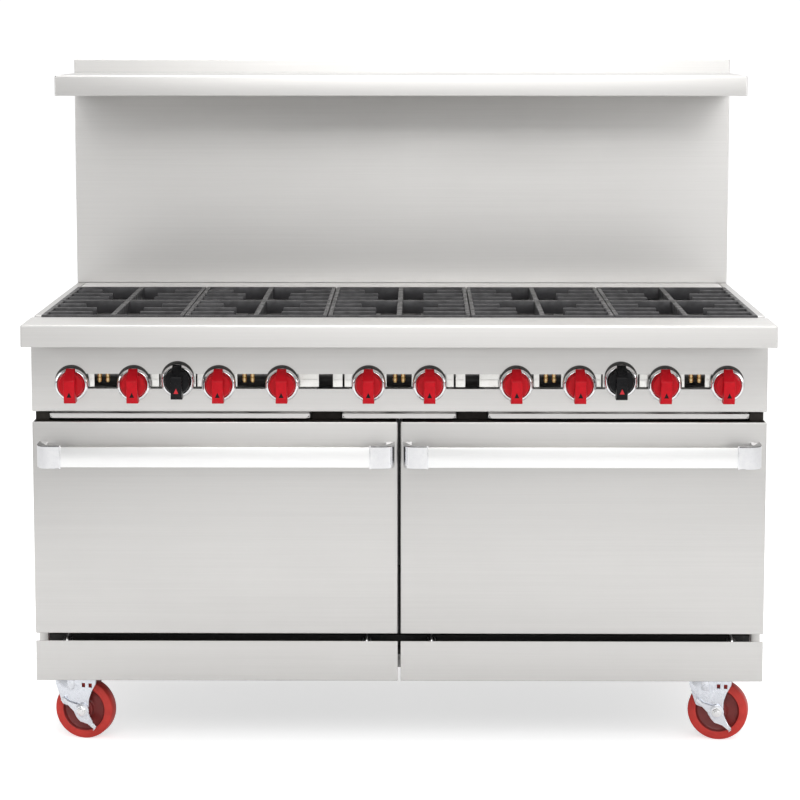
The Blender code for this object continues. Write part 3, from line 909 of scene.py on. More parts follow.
class Finishes:
    """Every finish of the range."""

    SHEET_X = BrushedSheet("stainless_brushed_across", (0.665, 0.655, 0.640), (0.610, 0.600, 0.588),
                           smooth=0.30, rough=0.44, relief=0.00002, smudge=0.22)
    SHEET_Z = BrushedSheet("stainless_brushed_upright", (0.665, 0.655, 0.640), (0.610, 0.600, 0.588),
                           smooth=0.30, rough=0.46, relief=0.00002, grain=Grain.ALONG_Z, smudge=0.22)
    # Painted light: a lighter copy of the brushed stainless for the landing ledge, whose top catches the
    # light.
    SHEET_TOP_LIT = BrushedSheet("stainless_top_painted_light", (0.700, 0.690, 0.675), (0.650, 0.640, 0.626),
                             smooth=0.44, rough=0.56, relief=0.00002, smudge=0.18)
    # Painted light: a much lighter copy of the brushed stainless for the rear deck.
    SHEET_DECK_LIT = BrushedSheet("stainless_deck_painted_light", (0.860, 0.850, 0.838), (0.820, 0.810, 0.798),
                              smooth=0.50, rough=0.62, relief=0.00002, smudge=0.15)
    # Painted light: a slightly lighter copy of the brushed stainless for the backguard.
    SHEET_GUARD_LIT = BrushedSheet("stainless_backguard_painted_light", (0.680, 0.670, 0.655), (0.630, 0.620, 0.608),
                               smooth=0.42, rough=0.54, relief=0.00002, smudge=0.18)
    # Painted highlight: brushed stainless lightened to near-white so the handle band reads white all over.
    BAND_HIGHLIGHT = BrushedSheet("handle_band_painted_highlight", (0.94, 0.94, 0.935), (0.88, 0.88, 0.875),
                        smooth=0.28, rough=0.40, relief=0.00002, smudge=0.15)
    CHROME = PlatedMetal("chrome_polished", (0.86, 0.86, 0.87), (0.72, 0.72, 0.73),
                         smooth=0.04, rough=0.14, relief=0.000004)
    ELBOW = PlatedMetal("handle_elbow_polished", (0.80, 0.80, 0.82), (0.74, 0.74, 0.76),
                        smooth=0.03, rough=0.08, relief=0.000002)
    # Painted shade: a dark layer for the tops of the handle elbows, standing in for the dark reflection and
    # shade on them.
    ELBOW_TOP_SHADE = PlatedMetal("handle_elbow_top_painted_shade", (0.20, 0.20, 0.20), (0.15, 0.15, 0.15),
                      smooth=0.34, rough=0.48, relief=0.00001, wear_and_highlight=(0.5, 0.5, 0.5))
    ZINC = PlatedMetal("zinc_plate_bright", (0.77, 0.79, 0.84), (0.60, 0.62, 0.68),
                       smooth=0.22, rough=0.40, relief=0.00001, spangle=190.0)
    BRASS = PlatedMetal("brass_valve", (0.66, 0.47, 0.17), (0.34, 0.22, 0.08),
                        smooth=0.16, rough=0.34, relief=0.00001, wear_and_highlight=(1.0, 0.90, 0.66))
    ALUMINIUM = PlatedMetal("aluminium_die_cast", (0.84, 0.83, 0.80), (0.66, 0.64, 0.60),
                            smooth=0.28, rough=0.46, relief=0.00003, spangle=500.0)
    WIRE = PlatedMetal("rack_wire_nickel", (0.70, 0.69, 0.66), (0.50, 0.48, 0.44),
                       smooth=0.20, rough=0.40, relief=0.00001)
    SPRING = PlatedMetal("hinge_arm_plated", (0.80, 0.80, 0.80), (0.62, 0.61, 0.60),
                         smooth=0.24, rough=0.42, relief=0.00001)
    GALVANISED = Speckled("galvanised_sheet", (0.575, 0.595, 0.605), (0.615, 0.635, 0.645),
                          smooth=0.34, rough=0.50, size=85.0, cover=0.60)
    ENAMEL = Speckled("oven_enamel_speckled", (0.035, 0.036, 0.042), (0.55, 0.56, 0.60), metallic=0.0,
                      smooth=0.14, rough=0.34, relief=0.00006, coat=0.4, size=420.0, cover=0.22)
    # Painted shade: the oven bottom pan is near-black so the gap between the doors and the kick panels reads
    # dark.
    PAINTED_SHADE_SHEET = Speckled("oven_bottom_painted_shade", (0.012, 0.011, 0.011), (0.026, 0.025, 0.024),
                          metallic=0.0,
                          smooth=0.45, rough=0.65, relief=0.00005, size=140.0, cover=0.35)
    FRAME = Speckled("base_frame_mill_steel", (0.34, 0.34, 0.335), (0.27, 0.265, 0.26), metallic=0.9,
                     smooth=0.40, rough=0.60, relief=0.00006, size=90.0, cover=0.40)
    IRON = CastMetal("grate_cast_iron", (0.040, 0.039, 0.042), (0.026, 0.025, 0.027),
                     smooth=0.36, rough=0.58, relief=0.0003)
    BURNER = CastMetal("burner_cast_iron", (0.055, 0.052, 0.050), (0.034, 0.031, 0.029),
                       smooth=0.50, rough=0.72, relief=0.0005, dust=0.35)
    PIPE = Moulded("manifold_black_paint", (0.030, 0.029, 0.030), (0.050, 0.047, 0.045),
                   smooth=0.34, rough=0.55, relief=0.00008, pores=300.0, dust=0.25)
    RED = Moulded("knob_red_moulded", (0.56, 0.002, 0.011), (0.46, 0.001, 0.008),
                  smooth=0.34, rough=0.48, relief=0.00002, dust=0.0, gloss=0.20)
    BLACK = Moulded("knob_black_moulded", (0.005, 0.005, 0.006), (0.009, 0.009, 0.010),
                    smooth=0.24, rough=0.36, relief=0.00002, dust=0.0, gloss=0.16)
    MARK_RED = Moulded("pointer_mark_red", (0.60, 0.010, 0.020), (0.48, 0.008, 0.016),
                         smooth=0.30, rough=0.44, relief=0.00001)
    TYRE = Moulded("wheel_tread_red", (0.55, 0.040, 0.030), (0.42, 0.028, 0.022),
                   smooth=0.40, rough=0.58, relief=0.00006, pores=420.0, dust=0.03, gloss=0.30)
    # Painted shade: the tread's red, darkened for the wheel core that sits in shade.
    SHADED_HUB = Moulded("wheel_hub_red_painted_shade", (0.20, 0.018, 0.016), (0.14, 0.013, 0.012),
                  smooth=0.32, rough=0.50, relief=0.00005, pores=420.0)
    # Painted shade: near-black for strips and blocks that darken the gaps around the crumb trays.
    PAINTED_GAP_SHADE = Moulded("painted_gap_shade_dark", (0.020, 0.017, 0.015), (0.030, 0.026, 0.023),
                   smooth=0.60, rough=0.80, relief=0.00004, dust=0.0, gloss=0.15)
    # Painted reflection: near-black for the discs behind the bezels, standing in for the knobs' dark
    # reflection in the panel.
    PAINTED_REFLECTION = Moulded("bezel_painted_reflection_dark", (0.055, 0.054, 0.052), (0.075, 0.073, 0.070),
                   smooth=0.40, rough=0.55, relief=0.00002, dust=0.0, gloss=0.30)
    GASKET = Woven("door_gasket_braid", (0.20, 0.19, 0.17), (0.32, 0.30, 0.27),
                   smooth=0.75, rough=0.92, relief=0.0006)
    FLOOR = Moulded("studio_floor_pale", (0.70, 0.70, 0.70), (0.69, 0.69, 0.69),
                    smooth=0.75, rough=0.90, relief=0.0, pores=4.0, dust=0.0)


# ---------------------------------------------------------------------------------------
# Studio
# ---------------------------------------------------------------------------------------

@dataclass(frozen=True)
class SoftBox:
    """A square soft light.

    Attributes:
        name: the light's name.
        place: where it hangs.
        aim: what it points at.
        size: its width and height.
        power: its power in watts.
    """

    name: str
    place: Triple
    aim: Triple
    size: Pair
    power: float

    def hang(self) -> None:
        """Add the light to the scene."""
        data = bpy.data.lights.new(self.name, "AREA")
        data.shape = "RECTANGLE"
        data.size, data.size_y = self.size
        data.energy = self.power
        lamp = bpy.data.objects.new(self.name, data)
        lamp.location = self.place
        aim = Vector(self.aim) - Vector(self.place)
        lamp.rotation_euler = aim.to_track_quat("-Z", "Y").to_euler()
        bpy.context.collection.objects.link(lamp)


@dataclass
class Studio:
    """Pale floor, soft light all round and the camera.

    Attributes:
        eye: where the camera stands.
        pitch: how far it looks down, in degrees.
        yaw: how far it is turned to the left, in radians.
        lens: its focal length in millimetres on a 36 mm sensor.
        shift: its vertical lens shift.
        floor_half: half the floor's width.
        floor_glow: light that the floor gives off by itself.
        floor_bounce: share of that light that falls on the range.
        boxes: the soft lights.
    """

    eye: Triple = (0.0435, -5.3862, 1.5157)
    pitch: float = 6.471
    yaw: float = 0.0082
    lens: float = 111.64
    shift: float = -0.12
    floor_half: float = 16.0
    floor_glow: float = 0.62
    floor_bounce: float = 0.34
    boxes: tuple[SoftBox, ...] = (
        SoftBox("softbox_key", (0.3, -3.8, 3.3), (0.0, 0.1, 0.8), (4.2, 2.0), 62.0),
        SoftBox("softbox_overhead", (0.0, 0.6, 3.8), (0.0, 0.0, 0.8), (3.2, 2.0), 62.0),
        SoftBox("softbox_right", (3.6, -1.6, 2.0), (0.0, 0.0, 0.7), (1.6, 2.0), 22.0),
        SoftBox("softbox_left", (-3.6, -1.2, 2.0), (0.0, 0.0, 0.7), (1.6, 2.0), 16.0),
    )

    def build(self) -> None:
        """Set up the world, the floor, the lights and the camera."""
        self.light_world()
        self.lay_floor()
        for box in self.boxes:
            box.hang()
        self.set_camera()

    def light_world(self) -> None:
        """Surround the range with white that dims towards two side flags."""
        scene = bpy.context.scene
        scene.world = bpy.data.worlds.new("studio_white")
        scene.world.use_nodes = True
        scene.view_settings.view_transform = "Standard"
        net = Net(scene.world.node_tree)
        direction = net.add("TexCoord").outputs["Generated"]
        parts = net.add("SeparateXYZ", {0: direction})
        across = net.add("Math", {0: parts.outputs[0]}, operation="ABSOLUTE").outputs[0]
        flag = net.math("MULTIPLY", net.fit(across, 0.50, 0.62, 0.0, 1.0),
                        net.fit(across, 0.84, 0.95, 1.0, 0.0))
        level = net.math("MULTIPLY", net.fit(parts.outputs[2], -0.05, 0.55, 0.88, 1.50),
                         net.fit(flag, 0.0, 1.0, 1.0, 0.30))
        level = net.math("MULTIPLY", level, net.fit(parts.outputs[0], -0.7, 0.15, 0.62, 1.0))
        seen = net.add("LightPath").outputs["Is Camera Ray"]
        shade = net.blend(level, (0.0, 0.0, 0.0, 1.0), (1.0, 1.0, 1.0, 1.0))
        surround = net.blend(seen, shade, (1.06, 1.06, 1.06, 1.0))
        background = scene.world.node_tree.nodes["Background"]
        net.tree.links.new(surround, background.inputs["Color"])
        background.inputs["Strength"].default_value = 1.0

    def lay_floor(self) -> None:
        """Lay the floor, with a fine net of faces under the range."""
        bpy.ops.object.select_all(action="DESELECT")
        bpy.ops.mesh.primitive_plane_add(size=2.0 * self.floor_half)
        floor = settle(bpy.context.active_object, "studio_floor")
        with editing(floor):
            bpy.ops.mesh.subdivide(number_cuts=7)
        finish = Finishes.FLOOR.material()
        shader = finish.node_tree.nodes["Principled BSDF"]
        net = Net(finish.node_tree)
        seen = net.add("LightPath").outputs["Is Camera Ray"]
        glow = net.blend(seen, (self.floor_bounce,) * 3 + (1.0,), (1.0, 1.0, 1.0, 1.0))
        net.tree.links.new(glow, shader.inputs["Emission Color"])
        shader.inputs["Emission Strength"].default_value = self.floor_glow
        floor.data.materials.append(finish)

    def set_camera(self) -> None:
        """Add the camera and make it the scene's own."""
        data = bpy.data.cameras.new("studio_camera")
        data.sensor_width = 36.0
        data.lens = self.lens
        data.shift_y = self.shift
        data.clip_end = 200.0
        camera = bpy.data.objects.new("studio_camera", data)
        camera.location = self.eye
        camera.rotation_euler = (math.radians(90.0 - self.pitch), 0.0, self.yaw)
        bpy.context.collection.objects.link(camera)
        bpy.context.scene.camera = camera


# ---------------------------------------------------------------------------------------
# Sheet metal
# ---------------------------------------------------------------------------------------

class Assembly:
    """A sub-assembly of the range."""

    def build(self) -> None:
        """Build and dress every piece."""
        raise NotImplementedError


def slots_cutter(name: str, columns: Sequence[float], rows: Sequence[float], y_span: Pair,
                 size: Pair) -> Piece:
    """Return a grid of round-ended slots that cut through a sheet along Y.

    Args:
        name: the cutter's name.
        columns: X of each column.
        rows: Z of each row.
        y_span: where the cut starts and ends.
        size: width and height of one slot.

    Returns:
        All the slots as one cutter.
    """
    width, height = size
    slots = []
    for x in columns:
        for z in rows:
            low = (x - width / 2, y_span[0], z - height / 2)
            high = (x + width / 2, y_span[1], z + height / 2)
            slot = cube(f"{name}_{len(slots)}", low, high)
            with editing(slot, Pick.EDGE, lambda _, along: abs(along.y) > 0.9):
                bpy.ops.mesh.bevel(offset=height * 0.46, segments=2, affect="EDGES")
            slots.append(slot)
    return joined(name, slots)


@dataclass
class Cabinet(Assembly):
    """The outer sheets: landing ledge, kick panels, sides, back, backguard and high shelf.

    Attributes:
        bend: outside radius of most bends.
        heavy_bend: outside radius of the ledge's and the shelf's bends.
        heavy_wall: thickness of the ledge, the shelf and the backguard.
        inlet: X, Z and radius of the hole for the gas inlet.
    """

    bend: float = 0.0022
    heavy_bend: float = 0.0042
    heavy_wall: float = 0.002
    inlet: Triple = (0.700, 0.7714, 0.0175)

    def build(self) -> None:
        """Build the sheets from front to back."""
        self.ledge()
        for side, sign in SIDES.items():
            self.kick_panel(side)
            self.side_panel(side, sign)
        self.rear_panel()
        self.backguard()
        self.shelf()

    def ledge(self) -> None:
        """Deep landing ledge along the front of the cooktop."""
        low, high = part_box("front_rail")
        piece = folded("landing_ledge", low, high, [(0, 0, -1)], self.heavy_bend, self.heavy_wall)
        # The ledge takes a lighter copy of the stainless: painted light.
        dress(piece, Finishes.SHEET_TOP_LIT, BODY, ["front_rail"])

    def kick_panel(self, side: str) -> None:
        """Kick panel with a bottom return.

        Args:
            side: left or right.
        """
        low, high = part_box(f"kick_panel_{side}")
        piece = folded(f"kick_plate_{side}", low, high, [(0, 1, 0), (0, 0, 1), (1, 0, 0), (-1, 0, 0)],
                       self.bend, self.heavy_wall)
        dress(piece, Finishes.SHEET_X, BODY, [f"kick_panel_{side}"])

    def side_panel(self, side: str, sign: float) -> None:
        """Side panel, open towards the middle of the range.

        Args:
            side: left or right.
            sign: the side's direction along X.
        """
        low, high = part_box(f"side_panel_{side}")
        piece = folded(f"side_sheet_{side}", low, high, [(-sign, 0, 0)], self.bend)
        dress(piece, Finishes.SHEET_Z, BODY, [f"side_panel_{side}"])

    def rear_panel(self) -> None:
        """Rear sheet with vent slots, and a hole for the gas inlet."""
        low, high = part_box("rear_panel")
        piece = folded("rear_sheet", low, high, [(0, -1, 0)], self.bend)
        x, z, radius = self.inlet
        hole = rod("inlet_hole", (x, high.y - 0.02, z), (x, high.y + 0.02, z), radius, 24)
        columns = [-0.54 + 0.12 * step for step in range(4)] + [0.18 + 0.12 * step for step in range(4)]
        rows = [0.30 + 0.018 * step for step in range(6)]
        vents = slots_cutter("vent_slots", columns, rows, (low.y - 0.01, high.y + 0.01), (0.070, 0.007))
        cut(piece, [hole, vents])
        dress(piece, Finishes.GALVANISED, BODY, ["rear_panel"])

    def backguard(self) -> None:
        """Hollow flue riser with outlet slots at the back of its head."""
        low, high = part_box("backguard")
        piece = folded("flue_riser", low, high, [(0, 0, -1)], self.heavy_bend * 0.7, self.heavy_wall)
        columns = [-0.63 + 0.18 * step for step in range(8)]
        slots = slots_cutter("flue_slots", columns, [high.z - 0.050, high.z - 0.074],
                             (high.y - 0.010, high.y + 0.010), (0.140, 0.010))
        cut(piece, [slots])
        # The backguard takes a slightly lighter copy of the stainless: painted light.
        dress(piece, Finishes.SHEET_GUARD_LIT, BODY, ["backguard"])

    def shelf(self) -> None:
        """High shelf with turned-down edges."""
        low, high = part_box("high_shelf")
        piece = folded("shelf_tray", low, high, [(0, 0, -1)], self.heavy_bend, self.heavy_wall)
        dress(piece, Finishes.SHEET_X, BODY, ["high_shelf"])


@dataclass(frozen=True)
class Knob:
    """A control knob: a skirted disc with a grip bar across it, and its stem.

    Attributes:
        disc: the disc's radius and depth.
        grip: the grip's width and length.
        depth: the whole knob's depth in front of its back plane.
        grip_side: (along, out) corners of the grip's side view, from its upper end.
        stem: the stem's radius and how far it reaches behind the back plane.
        mark: the pointer mark's width and length.
    """

    disc: Pair = (0.028, 0.016)
    grip: Pair = (0.0245, 0.070)
    depth: float = 0.036
    grip_side: tuple[Pair, ...] = (
        (0.0335, 0.0040), (0.0350, 0.0060), (0.0345, 0.0110), (0.0150, 0.0340), (0.0110, 0.0360),
        (-0.0235, 0.0360), (-0.0350, 0.0275), (-0.0350, 0.0060), (-0.0335, 0.0040))
    stem: Pair = (0.004, 0.0252)
    mark: Pair = (0.0100, 0.0110)

    def shell(self) -> Piece:
        """Mould the knob on the origin, facing +Z, with its grip along Y.

        Returns:
            The disc and the grip as one shell.
        """
        radius, thick = self.disc
        skirt = turned("knob_skirt", [(radius - 0.0008, 0.0), (radius, 0.0008), (radius, 0.0030),
                                      (radius - 0.0016, 0.0044), (radius - 0.0024, thick - 0.0030),
                                      (radius - 0.0038, thick - 0.0006), (radius - 0.0060, thick)],
                       Matrix.Identity(4), 40)
        half_width = self.grip[0] / 2
        upright = Matrix.Translation((-half_width, 0.0, 0.0)) @ SIDEWAYS
        grip = outlined("knob_grip", self.grip_side, upright, self.grip[0], 0.0)
        with editing(grip, Pick.FACE, lambda _, normal: normal.z > 0.99):
            bpy.ops.transform.resize(value=(0.90, 1.0, 1.0), center_override=(0.0, 0.0, self.depth))
        with editing(grip, Pick.VERT, lambda point: point.y > 0.030):
            bpy.ops.transform.resize(value=(0.76, 1.0, 1.0), center_override=(0.0, 0.0, 0.0))
        soften(grip, 0.0016, 3, 25.0)
        modify(skirt, "BOOLEAN", operation="UNION", solver="EXACT", object=grip)
        discard(grip)
        return skirt

    def spindle(self) -> Piece:
        """Turn the stem behind the knob and mill its flat.

        Returns:
            The stem.
        """
        radius, reach = self.stem
        stem = rod("knob_stem", (0.0, 0.0, -reach), (0.0, 0.0, -0.0002), radius, 16, 0.0005)
        flat = cube("stem_flat", (radius * 0.55, -radius * 2, -reach - 0.001),
                    (radius * 2, radius * 2, -reach * 0.6))
        return cut(stem, [flat])

    def pointer(self) -> Piece:
        """Cut the plain triangular mark for the lower end of the grip.

        Returns:
            The mark.
        """
        width, length = self.mark
        y = -self.grip[1] / 2 * 0.62
        corners = [(-width / 2, y), (width / 2, y), (0.0, y + length)]
        inset = Matrix.Translation((0.0, 0.0, self.depth - 0.0006))
        return outlined("pointer_mark", corners, inset, 0.0008, 0.0002)


@dataclass
class ControlPanel(Assembly):
    """Fascia with its long slot, a bezel behind each knob, the knobs and the pilot valves.

    Attributes:
        bend: outside radius of the fascia's bends.
        slot_z: lowest and highest edge of the slot.
        slot_half: half the slot's length.
        bezel: (radius, height) points of a bezel's section, from its outer foot round to it again.
        painted_reflection: radius and thickness of a dark disc behind a bezel, and how far it shows above it;
            the crescent of it above the ring is painted dark reflection of the knob in the panel.
        burner_z: height of the burner knobs.
        thermostat_z: height of the oven knobs.
        stem_hole: radius of the hole behind each knob.
        pilot_x: middle of each pair of pilot valves.
        pilot_gap: distance between the two valves of a pair.
        plate_spans: each valve plate's ends along X and how far it is set back.
        knob: the knobs' sizes.
    """

    bend: float = 0.0026
    slot_z: Pair = (0.7627, 0.7939)
    slot_half: float = 0.682
    bezel: tuple[Pair, ...] = (
        (0.0356, 0.0), (0.0356, 0.0012), (0.0350, 0.0030), (0.0338, 0.0048), (0.0322, 0.0063),
        (0.0306, 0.0073), (0.0294, 0.0077), (0.0288, 0.0074), (0.0286, 0.0062), (0.0284, 0.0010),
        (0.0075, 0.0008), (0.0075, 0.0), (0.0356, 0.0))
    painted_reflection: Triple = (0.0340, 0.0022, 0.0070)
    burner_z: float = 0.7714
    thermostat_z: float = 0.7797
    stem_hole: float = 0.0068
    pilot_x: tuple[float, ...] = (-0.612, -0.312, 0.0, 0.312, 0.612)
    pilot_gap: float = 0.0170
    plate_spans: tuple[Triple, ...] = (
        (-0.645, -0.631, 0.0), (-0.517, -0.497, 0.001), (-0.494, -0.478, 0.0), (-0.437, -0.421, 0.0),
        (-0.418, -0.396, 0.001), (-0.346, -0.335, 0.0), (-0.212, -0.166, 0.0), (-0.137, -0.117, -0.0015),
        (-0.113, -0.094, 0.0), (-0.036, -0.026, 0.0), (0.026, 0.034, 0.0), (0.094, 0.113, 0.0),
        (0.117, 0.137, -0.0015), (0.166, 0.212, 0.0), (0.278, 0.290, 0.0), (0.335, 0.345, 0.0),
        (0.396, 0.418, 0.001), (0.421, 0.437, 0.0), (0.478, 0.494, 0.0), (0.497, 0.517, 0.001),
        (0.580, 0.590, 0.0), (0.632, 0.645, 0.0))
    knob: Knob = Knob()

    def build(self) -> None:
        """Build the fascia first and then what stands in front of and behind it."""
        self.face_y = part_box("door_outer_left")[0].y
        self.fascia()
        self.bezels()
        self.knobs()
        self.pilot_valves()
        self.slot_plates()

    def knob_bodies(self) -> list[tuple[str, float, float]]:
        """Find where the knobs stand.

        Returns:
            Each knob's body with the X and Z of its stem.
        """
        places = []
        for body in sorted(name for name in frame["bodies"] if "_knob_" in name):
            low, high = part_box(body)
            height = self.thermostat_z if body.startswith("thermostat") else self.burner_z
            places.append((body, (low.x + high.x) / 2, height))
        return places

    def fascia(self) -> None:
        """Panel sheet with the slot and the stem holes."""
        low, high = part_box("control_panel")
        piece = folded("panel_fascia", (low.x, self.face_y, low.z), high, [(0, 1, 0)], self.bend, 0.002)
        slot = cube("slot_cutter", (-self.slot_half, self.face_y - 0.01, self.slot_z[0]),
                    (self.slot_half, self.face_y + 0.01, self.slot_z[1]))
        with editing(slot, Pick.EDGE, lambda _, along: abs(along.y) > 0.9):
            bpy.ops.mesh.bevel(offset=0.006, segments=4, affect="EDGES")
        holes = [rod("stem_hole", (x, self.face_y - 0.01, z), (x, self.face_y + 0.01, z), self.stem_hole)
                 for body, x, z in self.knob_bodies()]
        cut(piece, [slot, joined("stem_holes", holes)])
        dress(piece, Finishes.SHEET_X, BODY, ["control_panel"])

    def bezels(self) -> None:
        """Domed chrome ring behind each knob, with a dark disc of painted reflection behind it."""
        template = turned("bezel_template", self.bezel, Matrix.Identity(4), 48)
        rings = [copied(template, "bezel", place_matrix((x, self.face_y - 0.0001, z), (0, -1, 0)))
                 for body, x, z in self.knob_bodies()]
        discard(template)
        dress(joined("knob_bezels", rings), Finishes.CHROME, BODY)
        # Dark discs set a little higher behind the bezels: the crescent that shows above each ring is painted
        # dark reflection of the knob in the panel.
        radius, thick, rise = self.painted_reflection
        painted_reflections = [rod("painted_reflection", (x, self.face_y - 0.0001, z + rise), (x, self.face_y - thick, z + rise), radius,
                     48, 0.0005) for body, x, z in self.knob_bodies()]
        room = [rod("painted_reflection_room", (x, self.face_y + 0.01, z), (x, self.face_y - 0.01, z),
                    self.bezel[0][0] + 0.0001,
                    48) for body, x, z in self.knob_bodies()]
        dress(cut(joined("bezel_painted_reflections", painted_reflections), [joined("painted_reflection_rooms", room)]), Finishes.PAINTED_REFLECTION, BODY)

    def knobs(self) -> None:
        """Red burner knobs and black oven knobs, each on its own body."""
        shell, spindle, pointer = self.knob.shell(), self.knob.spindle(), self.knob.pointer()
        for body, x, z in self.knob_bodies():
            oven = body.startswith("thermostat")
            matrix = place_matrix((x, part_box(body)[1].y - self.knob.stem[1], z), (0, -1, 0))
            dress(copied(shell, f"{body}_cap", matrix), Finishes.BLACK if oven else Finishes.RED, body,
                  [body])
            dress(copied(spindle, f"{body}_stem", matrix), Finishes.BRASS, body)
            dress(copied(pointer, f"{body}_mark", matrix), Finishes.MARK_RED if oven else Finishes.BLACK,
                  body)
        discard(shell, spindle, pointer)

    def pilot_valves(self) -> None:
        """Pairs of upright brass pilot valves that show in the upper part of the slot."""
        steps = [(0.0034, 0.0), (0.0040, 0.0006), (0.0040, 0.0024), (0.0052, 0.0030), (0.0052, 0.0086),
                 (0.0044, 0.0094), (0.0044, 0.0108), (0.0050, 0.0114), (0.0050, 0.0176), (0.0044, 0.0182)]
        template = turned("pilot_template", steps, Matrix.Identity(4), 12)
        foot = block("pilot_foot", (-0.0034, -0.0020, 0.0036), (0.0034, 0.0230, 0.0096), 0.0012)
        template = joined("pilot_template", [template, foot])
        valves = []
        for x in self.pilot_x:
            for shift in (-self.pilot_gap / 2, self.pilot_gap / 2):
                place = Matrix.Translation((x + shift, self.face_y + 0.0085, self.slot_z[0] + 0.0130))
                valves.append(copied(template, "pilot", place))
        discard(template)
        dress(joined("pilot_valves", valves), Finishes.BRASS, BODY)

    def slot_plates(self) -> None:
        """Bright valve plates and covers that fill the rest of the slot."""
        low_z, high_z = self.slot_z[0] + 0.0035, self.slot_z[1] + 0.006
        front = self.face_y + 0.0045
        plates = []
        for start, end, step in self.plate_spans:
            depth = front + step
            plates.append(block("plate", (start, depth, low_z), (end, depth + 0.0022, high_z), 0.0007))
            rib_z = low_z + (high_z - low_z) * 0.42
            plates.append(block("plate_rib", (start + 0.002, depth - 0.0012, rib_z),
                                (end - 0.002, depth + 0.0004, rib_z + 0.0022), 0.0005, 1))
        dress(joined("slot_plates", plates), Finishes.ALUMINIUM, BODY)


# ---------------------------------------------------------------------------------------
# Oven doors
# ---------------------------------------------------------------------------------------

def ends(span: Pair, sign: float) -> Pair:
    """Return a span along X, mirrored to one side of the range."""
    return tuple(sorted((span[0] * sign, span[1] * sign)))


@dataclass
class OvenDoor(Assembly):
    """A drop-down oven door with its hinge arms and its handle.

    Attributes:
        side: left or right.
        bend: outside radius of the door's bends.
        hinge: Y and Z of the hinge line.
        arm_x: distance of each hinge arm from the middle of the range.
        arm: (y, z) corners of a hinge arm, from the hinge line.
        handle_x: the handle's ends, from the middle of the range.
        handle_z: the handle's lowest and highest edge.
        reach: how far the handle stands out.
        band: thickness of the handle's elbows.
        corner: outside radius of the elbows.
        elbow: length of an elbow along the handle.
        foot: thickness of an elbow where it meets the door.
        top_shade: thickness of the darker layer on top of an elbow, painted shade and dark reflection on its
            top face.
    """

    side: str
    bend: float = 0.0026
    hinge: Pair = (-0.281, 0.2183)
    arm_x: tuple[float, ...] = (0.068, 0.698)
    arm: tuple[Pair, ...] = (
        (0.014, 0.044), (0.026, 0.044), (0.026, 0.0), (0.018, -0.011), (0.008, -0.014), (-0.004, -0.0135),
        (-0.011, -0.009), (-0.014, 0.0), (-0.010, 0.010), (-0.003, 0.014), (0.008, 0.0145), (0.014, 0.018))
    handle_x: Pair = (0.009, 0.746)
    handle_z: Pair = (0.6055, 0.6528)
    reach: float = 0.062
    band: float = 0.010
    corner: float = 0.026
    elbow: float = 0.050
    foot: float = 0.0180
    top_shade: float = 0.0008

    def build(self) -> None:
        """Build the door from its skin to its handle."""
        self.sign = SIDES[self.side]
        self.body = f"oven_door_{self.side}"
        self.face_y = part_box(f"door_outer_{self.side}")[0].y
        self.skin()
        self.lining()
        self.hinge_arms()
        self.handle()
        self.top_return_shade()

    def top_return_shade(self) -> None:
        """Dark strip along the top return, under the crumb trays, as painted shade for the gap there."""
        low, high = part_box(f"door_outer_{self.side}")
        piece = block(f"door_gap_shade_{self.side}", (low.x + 0.004, low.y + 0.0012, high.z - 0.0002),
                      (high.x - 0.004, high.y - 0.004, high.z + 0.0009), 0.0004, 1)
        dress(piece, Finishes.PAINTED_GAP_SHADE, self.body)

    def skin(self) -> None:
        """Outer shell with folded edges."""
        low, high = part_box(f"door_outer_{self.side}")
        piece = folded(f"door_skin_{self.side}", low, high, [(0, 1, 0)], self.bend)
        dress(piece, Finishes.SHEET_X, self.body, [f"door_outer_{self.side}"])

    def lining(self) -> None:
        """Inner shell with a raised plug that stiffens it."""
        low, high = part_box(f"door_inner_{self.side}")
        outer_low, outer_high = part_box(f"door_outer_{self.side}")
        bottom = outer_low.z + (outer_high.z - high.z)
        piece = cube(f"door_lining_{self.side}", (low.x, outer_high.y + 0.0003, bottom), high)
        with editing(piece, Pick.FACE, lambda _, normal: normal.y > 0.99):
            bpy.ops.mesh.inset(thickness=0.030)
            bpy.ops.transform.translate(value=(0.0, -0.0035, 0.0))
            bpy.ops.mesh.inset(thickness=0.006)
            bpy.ops.mesh.inset(thickness=0.055)
            bpy.ops.transform.translate(value=(0.0, 0.0030, 0.0))
        with editing(piece, Pick.EDGE, lambda middle, _: middle.y > outer_high.y + 0.001):
            bpy.ops.mesh.bevel(offset=0.0016, segments=2, affect="EDGES")
        with editing(piece, Pick.FACE, lambda _, normal: normal.y < -0.99):
            bpy.ops.mesh.delete(type="FACE")
        modify(piece, "SOLIDIFY", thickness=0.0012, offset=-1.0, use_even_offset=True)
        dress(piece, Finishes.SHEET_X, self.body, [f"door_inner_{self.side}"])

    def hinge_arms(self) -> None:
        """Gooseneck plates, each with a collar round the hinge pin."""
        arms = []
        y, z = self.hinge
        for x in self.arm_x:
            middle = self.sign * x
            plate = outlined("arm", self.arm, Matrix.Translation((middle - 0.002, y, z)) @ SIDEWAYS, 0.004,
                             0.0007)
            boss = rod("boss", (middle - 0.0045, y, z), (middle + 0.0045, y, z), 0.0075, 20, 0.0008)
            arms += [plate, boss]
        dress(joined(f"hinge_arms_{self.side}", arms), Finishes.SPRING, self.body)

    def elbow_outline(self) -> list[Pair]:
        """Draw the top view of an elbow, with its foot at the origin and its band towards +X.

        Returns:
            (x, y) corners in order.
        """
        steps = 10
        front, rear = -self.reach, -0.0003
        outer, inner = [(0.0, rear)], [(self.foot, rear)]
        bend = self.corner - self.foot
        for step in range(steps + 1):
            angle = math.pi + 0.5 * math.pi * step / steps
            across, out = math.cos(angle), math.sin(angle)
            outer.append((self.corner + self.corner * across, front + self.corner + self.corner * out))
            inner.append((self.corner + bend * across, front + self.band + bend + bend * out))
        outer += [(self.elbow, front), (self.elbow, front + self.band)]
        return outer + inner[::-1]

